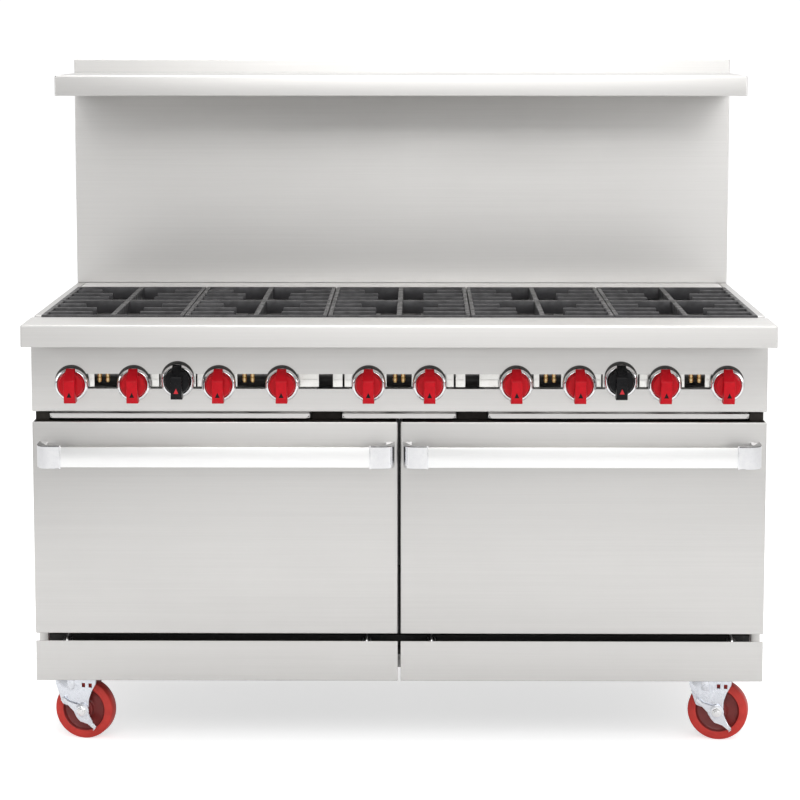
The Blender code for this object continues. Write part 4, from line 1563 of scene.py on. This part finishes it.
    def handle(self) -> None:
        """Flat bright band between two polished elbows."""
        low_x, high_x = ends(self.handle_x, self.sign)
        low_z, high_z = self.handle_z
        outline = self.elbow_outline()
        mirror = Matrix.Translation((low_x + high_x, 0.0, 0.0)) @ Matrix.Diagonal((-1.0, 1.0, 1.0, 1.0))
        # A thin dark layer over each elbow's top face: painted shade and dark reflection.
        shade_tops = outlined("top_shade_left", outline[:-2], Matrix.Translation((low_x, self.face_y, high_z - self.top_shade)),
                        self.top_shade, 0.0002)
        shade_tops = joined(f"handle_top_shades_{self.side}", [shade_tops, copied(shade_tops, "top_shade_right", mirror)])
        dress(shade_tops, Finishes.ELBOW_TOP_SHADE, self.body)
        left = outlined("elbow_left", outline, Matrix.Translation((low_x, self.face_y, low_z)),
                        high_z - low_z - self.top_shade - 0.0001, 0.0012)
        right = copied(left, "elbow_right", mirror)
        caps = []
        for x in (low_x + self.elbow, high_x - self.elbow):
            caps.append(block("elbow_lip", (x - 0.0016, self.face_y - self.reach - 0.00005, low_z - 0.00005),
                              (x + 0.0016, self.face_y - self.reach + self.band + 0.0002, high_z + 0.00005),
                              0.0006))
        elbows = joined(f"handle_elbows_{self.side}", [left, right, *caps])
        dress(elbows, Finishes.ELBOW, self.body, [f"door_handle_{self.side}"])
        rim = 0.0028
        # The band's near-white colour is painted highlight.
        band = block(f"handle_band_{self.side}",
                     (low_x + self.elbow - 0.012, self.face_y - self.reach + 0.0012, low_z + rim),
                     (high_x - self.elbow + 0.012, self.face_y - self.reach + self.band - 0.0012,
                      high_z - rim), 0.0012)
        dress(band, Finishes.BAND_HIGHLIGHT, self.body)


# ---------------------------------------------------------------------------------------
# Cooktop
# ---------------------------------------------------------------------------------------

def lattice(name: str, x_lines: Sequence[float], y_lines: Sequence[float], height: float,
            is_solid: Callable[[int, int], bool]) -> Piece:
    """Return a flat casting made of the solid cells of an uneven grid.

    Args:
        name: the piece's name.
        x_lines: X of the grid's lines.
        y_lines: Y of the grid's lines.
        height: how far the cells are raised along +Z.
        is_solid: says whether the cell at a column and row is solid.

    Returns:
        The raised casting, with sharp edges.
    """
    columns, rows = len(x_lines) - 1, len(y_lines) - 1
    bpy.ops.object.select_all(action="DESELECT")
    bpy.ops.mesh.primitive_grid_add(x_subdivisions=columns, y_subdivisions=rows, size=1.0)
    piece = settle(bpy.context.active_object, name)
    for vert in piece.data.vertices:
        column, row = round((vert.co.x + 0.5) * columns), round((vert.co.y + 0.5) * rows)
        vert.co = (x_lines[column], y_lines[row], 0.0)

    def is_open(middle: Vector, _: Vector) -> bool:
        """Say whether a cell is left out.

        Args:
            middle: the cell's middle.

        Returns:
            True where the casting has a hole.
        """
        column = sum(middle.x > line for line in x_lines) - 1
        row = sum(middle.y > line for line in y_lines) - 1
        return not is_solid(column, row)

    with editing(piece, Pick.FACE, is_open):
        bpy.ops.mesh.delete(type="FACE")
    with editing(piece):
        bpy.ops.mesh.extrude_region_move(TRANSFORM_OT_translate={"value": (0.0, 0.0, height)})
        bpy.ops.mesh.select_all(action="SELECT")
        bpy.ops.mesh.normals_make_consistent(inside=False)
    return piece


@dataclass
class Cooktop(Assembly):
    """Lift-off grates over the burner box, with the deck behind them.

    Attributes:
        columns: middle of each column of grates.
        rows: middle of each row of grates, front and rear.
        size: width and depth of a grate.
        bar: width of its bars.
        core: half the width of the open middle.
        short_core: the same beside the rear fingers.
        fingers: Y of the fingers.
        edge: rounding of the casting.
        tip_rise: how far a finger's underside rises to its tip.
    """

    columns: tuple[float, ...] = (-0.593, -0.2965, 0.0, 0.2965, 0.593)
    rows: tuple[tuple[str, float], ...] = (("front", -0.1593), ("rear", 0.1182))
    size: Pair = (0.2950, 0.2760)
    bar: float = 0.009
    core: float = 0.050
    short_core: float = 0.082
    fingers: tuple[float, ...] = (-0.070, 0.0, 0.070)
    edge: float = 0.0018
    tip_rise: float = 0.011

    def build(self) -> None:
        """Build the grates, the box under them and its lining."""
        self.grates()
        self.box()
        self.deck()

    def grate(self) -> Piece:
        """Cast one grate with its middle on the origin and its foot at Z 0.

        Returns:
            The grate.
        """
        half_x, half_y = self.size[0] / 2, self.size[1] / 2
        bar, thick = self.bar, self.bar * 0.62
        x_lines = [-half_x, -half_x + bar, -self.short_core, -self.core, -thick, thick, self.core,
                   self.short_core, half_x - bar, half_x]
        y_lines = [-half_y, -half_y + bar]
        for finger in self.fingers:
            y_lines += [finger - bar / 2, finger + bar / 2]
        y_lines += [half_y - bar, half_y]

        def is_solid(column: int, row: int) -> bool:
            """Keep the rim, the middle bar and the fingers, the rear ones shorter.

            Args:
                column: the cell's place along X.
                row: the cell's place along Y.

            Returns:
                True where there is iron.
            """
            on_finger = row % 2 == 0 and 0 < row < 8
            reach = column in (1, 7) or (row != 6 and column in (2, 6))
            return column in (0, 4, 8) or row in (0, 8) or (on_finger and reach)

        low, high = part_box("grate_front_1")
        piece = lattice("grate_template", x_lines, y_lines, high.z - low.z, is_solid)
        tips = (self.core, self.short_core)

        def is_tip(point: Vector) -> bool:
            """Say whether a point is on the underside of a finger's tip."""
            on_finger = any(abs(point.y - finger) < bar for finger in self.fingers)
            return point.z < 0.001 and on_finger and any(abs(abs(point.x) - tip) < 1e-4 for tip in tips)

        with editing(piece, Pick.VERT, is_tip):
            bpy.ops.transform.translate(value=(0.0, 0.0, self.tip_rise))
        return soften(piece, self.edge, 2, 40.0)

    def grates(self) -> None:
        """Ten grates, each on its own body."""
        template = self.grate()
        for number, x in enumerate(self.columns, start=1):
            for row, y in self.rows:
                node = f"grate_{row}_{number}"
                piece = moved(template, (x, y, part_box(node)[0].z), f"{node}_casting")
                dress(piece, Finishes.IRON, node, [node])
        discard(template)

    def box(self) -> None:
        """Frame that carries the grates, with a lining that hangs in it."""
        low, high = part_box("burner_box")
        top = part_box("grate_front_1")[0].z - 0.0003
        wall = 0.006
        rails = [low.x, low.x + wall]
        for left, right in zip(self.columns, self.columns[1:]):
            middle = (left + right) / 2
            rails += [middle - wall / 2, middle + wall / 2]
        rails += [high.x - wall, high.x]
        y_lines = [low.y, low.y + wall, 0.2525, 0.2585]
        piece = lattice("box_template", rails, y_lines, top - low.z, lambda i, j: i % 2 == 0 or j != 1)
        piece.data.transform(Matrix.Translation((0.0, 0.0, low.z)))
        soften(piece, 0.0008, 1, 40.0)
        piece.name = piece.data.name = "burner_box_frame"
        dress(piece, Finishes.SHEET_X, BODY, ["burner_box"])
        sheets = [block("lining_rear", (low.x + 0.001, 0.2500, 0.782), (high.x - 0.001, 0.2512, top - 0.001),
                        0.0004),
                  block("lining_front", (low.x + 0.001, low.y + 0.008, 0.800),
                        (high.x - 0.001, low.y + 0.0092, top - 0.001), 0.0004),
                  block("lining_middle", (low.x + 0.001, -0.0211, 0.8165), (high.x - 0.001, -0.0199, 0.8800),
                        0.0004)]
        dress(joined("burner_box_lining", sheets), Finishes.SHEET_X, BODY)

    def deck(self) -> None:
        """Flat deck behind the grates, turned up against the backguard."""
        low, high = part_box("burner_box")
        piece = folded("rear_deck", (low.x, 0.2588, low.z), (high.x, high.y, high.z), [(0, 0, -1)], 0.003,
                       0.002)
        # The deck takes a much lighter copy of the stainless: painted light.
        dress(piece, Finishes.SHEET_DECK_LIT, BODY)


# ---------------------------------------------------------------------------------------
# Gas parts
# ---------------------------------------------------------------------------------------

@dataclass
class GasTrain(Assembly):
    """Manifold pipe with its valves and inlet, and the burners.

    Attributes:
        pipe: the manifold's radius, Y and Z.
        pipe_half: half its length.
        inlet: the inlet pipe's X and radius.
        valve: half width of a valve body, and how far it stands in front of the pipe.
        head_radius: radius of a burner head.
        head_top: its top.
        tube: the venturi tubes' radius, Z and front end.
        offset: how far a tube stands beside its burner.
        sections: the columns that each burner set covers.
    """

    pipe: Triple = (0.016, -0.235, 0.7714)
    pipe_half: float = 0.715
    inlet: Pair = (0.700, 0.0135)
    valve: Pair = (0.013, 0.0515)
    head_radius: float = 0.045
    head_top: float = 0.874
    tube: Triple = (0.014, 0.800, -0.212)
    offset: float = 0.028
    sections: tuple[tuple[str, tuple[int, ...]], ...] = (("left", (-2, -1)), ("centre", (0,)),
                                                         ("right", (1, 2)))
    pitch: float = 0.2965

    def build(self) -> None:
        """Build the manifold, then the valves, then the burners."""
        self.manifold()
        self.valves()
        self.burners()
        self.pilot_tubes()

    def manifold(self) -> None:
        """Black pipe with capped ends, and the inlet that leaves through the back."""
        radius, y, z = self.pipe
        main = rod("manifold_run", (-self.pipe_half, y, z), (self.pipe_half, y, z), radius, 28, 0.002)
        caps = [turned("pipe_cap", [(0.0195, 0.0), (0.0200, 0.0010), (0.0200, 0.0150), (0.0180, 0.0170),
                                       (0.0100, 0.0176)],
                       place_matrix((sign * (self.pipe_half - 0.0165), y, z), (sign, 0, 0)),
                       8) for sign in (-1, 1)]
        inlet_x, inlet_radius = self.inlet
        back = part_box("gas_manifold")[1].y
        inlet = rod("inlet_run", (inlet_x, y, z), (inlet_x, back, z), inlet_radius, 28, 0.0008)
        elbow = turned("inlet_tee", [(0.0185, 0.0), (0.0195, 0.0010), (0.0195, 0.0300), (0.0165, 0.0340)],
                       place_matrix((inlet_x, y + 0.004, z), (0, 1, 0)), 24)
        union = turned("inlet_union", [(0.0180, 0.0), (0.0190, 0.0012), (0.0190, 0.0240), (0.0180, 0.0252)],
                       place_matrix((inlet_x, back - 0.085, z), (0, 1, 0)), 6)
        piece = joined("manifold_pipe", [main, *caps, inlet, elbow, union])
        dress(piece, Finishes.PIPE, BODY, ["gas_manifold"])

    def valves(self) -> None:
        """Die-cast valve body on the manifold behind each knob."""
        half, reach = self.valve
        radius, y, z = self.pipe
        front = y - reach
        base = block("valve_body", (-half, 0.0, -0.0135), (half, 0.0260, 0.0135), 0.0028, 3)
        collar = turned("valve_collar", [(0.0100, 0.0), (0.0105, 0.0006), (0.0105, 0.0060), (0.0090, 0.0080)],
                        place_matrix((0.0, 0.0262, 0.0), (0, 1, 0)), 6)
        neck = rod("valve_neck", (0.0, 0.030, 0.0), (0.0, reach, 0.0), 0.0075, 18, 0.0006)
        ears = block("valve_ears", (-0.0245, 0.0030, -0.0062), (0.0245, 0.0090, 0.0062), 0.0020, 2)
        screws = [turned("valve_screw", [(0.0036, 0.0), (0.0036, 0.0016), (0.0026, 0.0024)],
                         place_matrix((sign * 0.0195, 0.0031, 0.0), (0, -1, 0)), 10) for sign in (-1, 1)]
        template = joined("valve_template", [base, collar, neck, ears, *screws])
        bodies = []
        for name in sorted(name for name in frame["bodies"] if "_knob_" in name):
            low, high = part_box(name)
            bodies.append(moved(template, ((low.x + high.x) / 2, front + 0.0004, z), "valve"))
        discard(template)
        dress(joined("gas_valves", bodies), Finishes.ALUMINIUM, BODY)

    def head(self) -> Piece:
        """Cast one burner head on the origin, with a ring of ports under its cap.

        Returns:
            The head.
        """
        radius = self.head_radius
        profile = [(0.020, -0.030), (0.024, -0.0300), (radius - 0.006, -0.0200), (radius, -0.0185),
                   (radius, -0.0155),
                   (radius, -0.0075), (radius, -0.0045), (radius - 0.002, -0.0018), (radius - 0.008, 0.0),
                   (0.018, 0.0), (0.014, -0.0016)]
        head = turned("burner_head", profile, Matrix.Identity(4), 36)

        def is_port(middle: Vector, normal: Vector) -> bool:
            """Pick the band of faces that stand upright at mid height."""
            return abs(normal.z) < 0.1 and -0.0155 < middle.z < -0.0075

        with editing(head, Pick.FACE, is_port):
            bpy.ops.mesh.inset(thickness=0.0017, use_individual=True)
            bpy.ops.transform.shrink_fatten(value=-0.0030)
        return head

    def burners(self) -> None:
        """Burner heads on their venturi tubes, tied by a bar, one set to a section."""
        radius, z, front = self.tube
        rows = tuple(y for _, y in Cooktop.rows)
        template = self.head()
        for section, columns in self.sections:
            pieces = []
            for column in columns:
                for y, offset in zip(rows, (self.offset, -self.offset)):
                    x = column * self.pitch
                    tube_x = x + offset
                    pieces.append(moved(template, (x, y, self.head_top), "head"))
                    bell = [(radius + 0.0045, 0.0), (radius + 0.0050, 0.0010), (radius + 0.0042, 0.0080),
                            (radius, 0.0260), (radius - 0.0010, 0.0500), (radius, 0.0900),
                            (radius, y + 0.020 - front), (radius - 0.002, y + 0.022 - front)]
                    pieces.append(turned("tube", bell, place_matrix((tube_x, front, z), (0, 1, 0)), 18))
                    pieces.append(rod("riser", (x + offset / 2, y, z + 0.002), (x, y, self.head_top - 0.026),
                                      radius + 0.003, 18, 0.001))
            low_x, high_x = columns[0] * self.pitch - 0.080, columns[-1] * self.pitch + 0.080
            pieces.append(block("tie", (low_x, rows[0] - 0.012, z - 0.0175),
                                (high_x, rows[0] + 0.012, z - 0.0105), 0.001))
            dress(joined(f"burners_{section}", pieces), Finishes.BURNER, BODY,
                  [f"burner_set_{section}"])
        discard(template)

    def pilot_tubes(self) -> None:
        """Thin tubes that carry the pilot flames between the burners."""
        tubes = []
        for column in range(-2, 3):
            x = column * self.pitch
            run = rod("pilot_run", (x, -0.212, 0.858), (x, -0.060, 0.858), 0.0032, 12, 0.0004)
            drop = rod("pilot_drop", (x, -0.2105, 0.8585), (x, -0.232, 0.800), 0.0032, 12, 0.0004)
            tip = turned("pilot_tip", [(0.0050, 0.0), (0.0055, 0.0006), (0.0055, 0.0100), (0.0036, 0.0130)],
                         place_matrix((x, -0.060, 0.853), (0, 0, 1)), 12)
            tubes += [run, drop, tip]
        dress(joined("pilot_tubes", tubes), Finishes.ALUMINIUM, BODY)


# ---------------------------------------------------------------------------------------
# Ovens and base
# ---------------------------------------------------------------------------------------

@dataclass
class Oven(Assembly):
    """Inside of one oven: rack, rack guides, floor burner cover and door gasket.

    Attributes:
        side: left or right.
        wire: radius of the rack's wires.
        rack_bars: how many wires run from front to back.
        guide_z: height of the rack guides.
        gasket: thickness of the gasket in front of the flange.
    """

    side: str
    wire: float = 0.003
    rack_bars: int = 17
    guide_z: tuple[float, ...] = (0.360, 0.448, 0.540)
    gasket: float = 0.0007

    def build(self) -> None:
        """Dress the liner and build what stands in it."""
        recoat(f"oven_liner_{self.side}", Finishes.ENAMEL)
        self.rack()
        self.guides()
        self.seal()

    def rack(self) -> None:
        """Rack of round wires on a heavier frame."""
        node = f"oven_rack_{self.side}"
        low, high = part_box(node)
        radius = self.wire
        z = high.z - radius
        step = (high.x - low.x - 0.020) / (self.rack_bars - 1)
        wires = [rod("wire", (low.x + 0.010 + number * step, low.y + 0.001, z),
                     (low.x + 0.010 + number * step, high.y - 0.001, z), radius * 0.72, 8, 0.0003)
                 for number in range(self.rack_bars)]
        under = z - 0.0004
        for y in (low.y + radius, low.y * 0.5 + high.y * 0.5, high.y - radius):
            wires.append(rod("cross_wire", (low.x, y, under), (high.x, y, under), radius, 12, 0.0008))
        for x in (low.x + radius, high.x - radius):
            wires.append(rod("edge_wire", (x, low.y + radius, under), (x, high.y - radius, under), radius,
                             12))
        dress(joined(f"oven_rack_wires_{self.side}", wires), Finishes.WIRE, BODY, [node])

    def guides(self) -> None:
        """Rack guides on both walls of the oven."""
        low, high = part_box(f"oven_rack_{self.side}")
        rails = []
        inner_low, inner_high = low.x - 0.0006, high.x + 0.0006
        for height in self.guide_z:
            for wall, inward in ((inner_low, 1.0), (inner_high, -1.0)):
                for shift in (-0.006, 0.0) if height < low.z or height > high.z else (-0.006,):
                    rails.append(rod("guide", (wall + inward * 0.004, -0.225, height + shift),
                                     (wall + inward * 0.004, 0.300, height + shift), 0.0024, 10, 0.0006))
            for y in (-0.215, 0.035, 0.285):
                for wall, inward in ((inner_low, 1.0), (inner_high, -1.0)):
                    rails.append(rod("post", (wall + inward * 0.0030, y, height - 0.040),
                                     (wall + inward * 0.0030, y, height - 0.004), 0.0024, 10, 0.0006))
        dress(joined(f"rack_guides_{self.side}", rails), Finishes.WIRE, BODY)

    def seal(self) -> None:
        """Flat braided gasket on the front of the oven's flange."""
        low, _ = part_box(f"oven_liner_{self.side}")
        sign = SIDES[self.side]
        x_lines = list(ends((0.036, 0.722), sign))
        x_lines = [x_lines[0], x_lines[0] + 0.012, x_lines[1] - 0.012, x_lines[1]]
        z_lines = [0.2600, 0.2700, 0.6575, 0.6675]
        piece = lattice(f"gasket_{self.side}", x_lines, z_lines, self.gasket, lambda i, j: i != 1 or j != 1)
        piece.data.transform(Matrix.Translation((0.0, low.y - 0.00005, 0.0)) @ Matrix.Rotation(math.pi / 2, 4,
                                                                                               "X"))
        dress(piece, Finishes.GASKET, BODY)


@dataclass
class BasePan(Assembly):
    """Frame under the ovens, the pan over it in near-black painted shade, hinge brackets and crumb trays.

    Attributes:
        pan_z: height of the pan and its thickness.
        pan_half: half the pan's width.
        bracket: half width of a hinge bracket.
        notch: size of the slanted cut under the ends of a crumb tray's front.
        tray_lift: how far the trays' floors lie above their runners.
    """

    pan_z: Pair = (0.2068, 0.2083)
    pan_half: float = 0.7405
    bracket: float = 0.011
    notch: float = 0.0100
    tray_lift: float = 0.0028

    def build(self) -> None:
        """Build the base from the frame up."""
        recoat("base_frame", Finishes.FRAME)
        self.heat_pan()
        self.brackets()
        self.tray_gap_shades()
        for side in ("left", "centre", "right"):
            self.crumb_tray(side)

    def tray_gap_shades(self) -> None:
        """Dark blocks that fill the gaps beside and between the crumb trays, as painted shade for those gaps.
        """
        gap_shades = []
        for sign in SIDES.values():
            for inner, outer, front in ((0.7262, 0.7545, -0.3000), (0.1200, 0.1830, -0.2850)):
                low_x, high_x = ends((inner, outer), sign)
                gap_shades.append(block("gap_shade", (low_x, front, 0.6955), (high_x, -0.2535, 0.7140), 0.0012))
        dress(joined("tray_gap_shades", gap_shades), Finishes.PAINTED_GAP_SHADE, BODY)

    def heat_pan(self) -> None:
        """Pan that closes the bottom of both ovens; its near-black is painted shade for the gap under the
        doors.
        """
        inner = min(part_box("base_frame")[1].x, self.pan_half)
        pan = folded("oven_bottom_pan", (-inner, -0.2495, self.pan_z[0]),
                     (inner, 0.432, self.pan_z[0] + 0.022),
                     [(0, 0, 1)], 0.002, self.pan_z[1] - self.pan_z[0])
        dress(pan, Finishes.PAINTED_SHADE_SHEET, BODY)

    def brackets(self) -> None:
        """Bracket with a pin on both sides of each hinge arm."""
        parts = []
        for sign in SIDES.values():
            for x in (0.068, 0.698):
                middle = sign * x
                for shift in (-0.0085, 0.0065):
                    parts.append(block("cheek", (middle + shift, -0.2985, 0.1965),
                                       (middle + shift + 0.002, -0.2660, 0.2275), 0.0007))
                parts.append(rod("pin", (middle - self.bracket, -0.281, 0.2183),
                                 (middle + self.bracket, -0.281, 0.2183), 0.0042, 16))
        dress(joined("hinge_brackets", parts), Finishes.SPRING, BODY)

    def crumb_tray(self, side: str) -> None:
        """Shallow tray with a folded front edge.

        Args:
            side: left, centre or right.
        """
        node = f"crumb_tray_{side}"
        low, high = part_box(node)
        low.z += self.tray_lift
        piece = folded(f"drip_tray_{side}", low, high, [(0, 0, 1)], 0.0022, 0.0012)
        front = Matrix.Translation((0.0, low.y + self.notch, 0.0)) @ UPRIGHT
        corners = []
        for end, inward in ((low.x - 0.001, 1.0), (high.x + 0.001, -1.0)):
            outline = [(end, low.z - 0.001), (end + inward * self.notch, low.z - 0.001),
                       (end, low.z + self.notch)]
            corners.append(outlined("tray_notch", outline[::int(inward)], front, self.notch + 0.002, 0.0))
        cut(piece, [joined("tray_notches", corners)])
        dress(piece, Finishes.SHEET_X, node, [node])


# ---------------------------------------------------------------------------------------
# Casters
# ---------------------------------------------------------------------------------------

@dataclass
class Caster(Assembly):
    """Swivel caster whose wheel trails along its own +X.

    Attributes:
        corner: which corner of the range it carries.
        place: X and Y of its swivel axis.
        yaw: how far it is turned, in degrees.
        trail: how far the axle is behind the swivel axis.
        radius: the wheel's radius.
        fork_half: half the fork's width and half its slot's width.
        fork_top: height of the fork's top.
        head_top: height of the swivel head's top.
        cheek: (x, z) corners of the fork's side.
        lever: (x, z) corners of the brake lever, from the axle.
        lever_tabs: (x, z) corners of the lever's two bent ends.
    """

    corner: str
    place: Pair
    yaw: float
    trail: float = 0.030
    radius: float = 0.0635
    fork_half: Pair = (0.023, 0.018)
    fork_top: float = 0.137
    head_top: float = 0.1677
    cheek: tuple[Pair, ...] = (
        (-0.0290, 0.1365), (-0.0290, 0.1180), (-0.0150, 0.0760), (0.0060, 0.0690), (0.0130, 0.0530),
        (0.0210, 0.0480), (0.0300, 0.0465), (0.0380, 0.0490), (0.0430, 0.0570), (0.0440, 0.0860),
        (0.0500, 0.1040), (0.0600, 0.1220), (0.0600, 0.1365))
    lever: tuple[Pair, ...] = (
        (-0.0450, 0.0215), (-0.0415, 0.0285), (-0.0300, 0.0190), (-0.0130, 0.0140), (0.0080, 0.0100),
        (0.0130, 0.0010), (0.0170, -0.0110), (0.0240, -0.0260), (0.0320, -0.0350), (0.0270, -0.0405),
        (0.0120, -0.0290), (-0.0050, -0.0240), (-0.0130, -0.0150), (-0.0180, -0.0040), (-0.0300, 0.0080))
    lever_tabs: tuple[tuple[Pair, ...], ...] = (
        ((-0.0450, 0.0215), (-0.0415, 0.0285), (-0.0395, 0.0268), (-0.0428, 0.0200)),
        ((0.0320, -0.0350), (0.0270, -0.0405), (0.0255, -0.0392), (0.0303, -0.0338)))

    def build(self) -> None:
        """Build the fork, the wheel and, in front, the brake lever."""
        x, y = self.place
        self.pivot = Matrix.Translation((x, y, 0.0)) @ Matrix.Rotation(math.radians(self.yaw), 4, "Z")
        self.axle = self.pivot @ Matrix.Translation((self.trail, 0.0, self.radius))
        self.fork()
        self.wheel()
        self.axle_bolt()
        if self.corner.startswith("front"):
            self.brake_lever()

    def fork(self) -> None:
        """Pressed fork with a rounded rib and square holes, under its swivel head."""
        outer, inner = self.fork_half
        lift = Matrix.Translation((0.0, outer, 0.0)) @ UPRIGHT
        yoke = outlined(f"fork_{self.corner}", self.cheek, lift, outer * 2, 0.0)
        with editing(yoke, Pick.EDGE, lambda _, along: abs(along.y) > 0.9):
            bpy.ops.mesh.bevel(offset=0.0025, segments=2, affect="EDGES")
        room = cube("fork_room", (-0.1, -inner, -0.1), (0.2, inner, self.fork_top - 0.005))
        holes = joined("fork_holes", [cube("hole", (x, -0.05, 0.1135), (x + 0.0075, 0.05, 0.1225))
                                      for x in (0.0290, 0.0440)])
        cut(yoke, [room, holes])
        soften(yoke, 0.0009, 2, 35.0)
        ribs = []
        for sign in (-1, 1):
            rib = rod("rib", (0.0045, 0.0, 0.1075), (0.0045, 0.0, self.fork_top - 0.0012), 0.0085, 20, 0.003)
            rib.data.transform(Matrix.Translation((0.0, sign * (outer - 0.0008), 0.0)) @
                               Matrix.Diagonal((1.0, 0.38, 1.0, 1.0)))
            ribs.append(rib)
        race = turned("swivel_head", [(0.0240, 0.1340), (0.0285, 0.1352), (0.0290, 0.1365), (0.0290, 0.1440),
                                      (0.0270, 0.1452), (0.0270, 0.1476), (0.0290, 0.1488), (0.0290, 0.1585),
                                      (0.0265, 0.1640), (0.0215, self.head_top - 0.0012),
                                      (0.0205, self.head_top)],
                      Matrix.Identity(4), 36)
        king = turned("king_nut", [(0.0090, 0.1258), (0.0098, 0.1266), (0.0098, 0.1322)], Matrix.Identity(4),
                      6)
        piece = joined(f"caster_yoke_{self.corner}", [yoke, *ribs, race, king])
        piece.data.transform(self.pivot)
        dress(piece, Finishes.ZINC, f"caster_{self.corner}", [f"caster_fork_{self.corner}"])

    def wheel(self) -> None:
        """Moulded tread on a webbed core."""
        half = [(0.0462, 0.0152), (0.0500, 0.0160), (0.0596, 0.0160), (0.0622, 0.0146), (0.0635, 0.0112)]
        section = [(radius, -height) for radius, height in half] + half[::-1]
        section += [(0.0452, 0.0), (half[0][0], -half[0][1])]
        tread = turned(f"wheel_tread_{self.corner}", section, self.axle @ UPRIGHT, 72)
        half = [(0.0068, 0.0172), (0.0180, 0.0172), (0.0196, 0.0160), (0.0200, 0.0090), (0.0225, 0.0068),
                (0.0400, 0.0068), (0.0432, 0.0086), (0.0450, 0.0140), (0.0461, 0.0150)]
        section = [(radius, -height) for radius, height in half] + half[::-1] + [(half[0][0], -half[0][1])]
        core = turned(f"wheel_core_{self.corner}", section, self.axle @ UPRIGHT, 56)
        body = f"wheel_{self.corner}"
        dress(tread, Finishes.TYRE, body, [f"caster_wheel_{self.corner}"])
        # The core takes the tread's red darkened: painted shade.
        dress(core, Finishes.SHADED_HUB, body)

    def axle_bolt(self) -> None:
        """Axle with a hexagon head, a washer and a nut."""
        outer = self.fork_half[0]
        near = outer + (0.0046 if self.corner.startswith("front") else 0.0002)
        parts = [rod("axle", (0.0, -near - 0.0085, 0.0), (0.0, outer + 0.006, 0.0), 0.0052, 16, 0.0008)]
        for side, gap, height in ((-1, near, 0.0062), (1, outer, 0.0050)):
            washer = [(0.0105, 0.0), (0.0108, 0.0003), (0.0108, 0.0012), (0.0100, 0.0014)]
            parts.append(turned("washer", washer, place_matrix((0.0, side * gap, 0.0), (0, side, 0)), 28))
            nut = [(0.0084, 0.0013), (0.0092, 0.0020), (0.0092, height), (0.0080, height + 0.0010)]
            parts.append(turned("nut", nut, place_matrix((0.0, side * gap, 0.0), (0, side, 0)), 6))
        piece = joined(f"axle_bolt_{self.corner}", parts)
        piece.data.transform(self.axle)
        dress(piece, Finishes.CHROME, f"caster_{self.corner}")

    def brake_lever(self) -> None:
        """Flat lever over the axle, with both ends bent out as treads."""
        start = Matrix.Translation((0.0, -self.fork_half[0] - 0.0003, 0.0)) @ UPRIGHT
        plate = outlined("lever_plate", self.lever, start, 0.0036, 0.0009)
        tabs = [outlined("lever_tab", tab, start, 0.0105, 0.0006) for tab in self.lever_tabs]
        boss = turned("lever_boss", [(0.0140, 0.0002), (0.0150, 0.0010), (0.0150, 0.0036), (0.0135, 0.0043)],
                      start, 28)
        piece = joined(f"brake_plate_{self.corner}", [plate, *tabs, boss])
        piece.data.transform(self.axle)
        dress(piece, Finishes.ZINC, f"brake_{self.corner}", [f"brake_lever_{self.corner}"])


def main() -> None:
    """Build the range, one sub-assembly at a time."""
    logging.basicConfig(level=logging.INFO, format="%(name)s: %(message)s")
    for part in (Studio(), Cabinet(), ControlPanel(), OvenDoor("left"), OvenDoor("right"),
                 Cooktop(), GasTrain(), Oven("left"), Oven("right"), BasePan(),
                 Caster("front_left", (-0.698, -0.220), -12.0), Caster("front_right", (0.649, -0.220), -12.0),
                 Caster("rear_left", (-0.698, 0.335), 75.0), Caster("rear_right", (0.649, 0.335), 75.0)):
        LOG.info("building %s", type(part).__name__)
        part.build()
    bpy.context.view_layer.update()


if __name__ == "__main__":
    main()
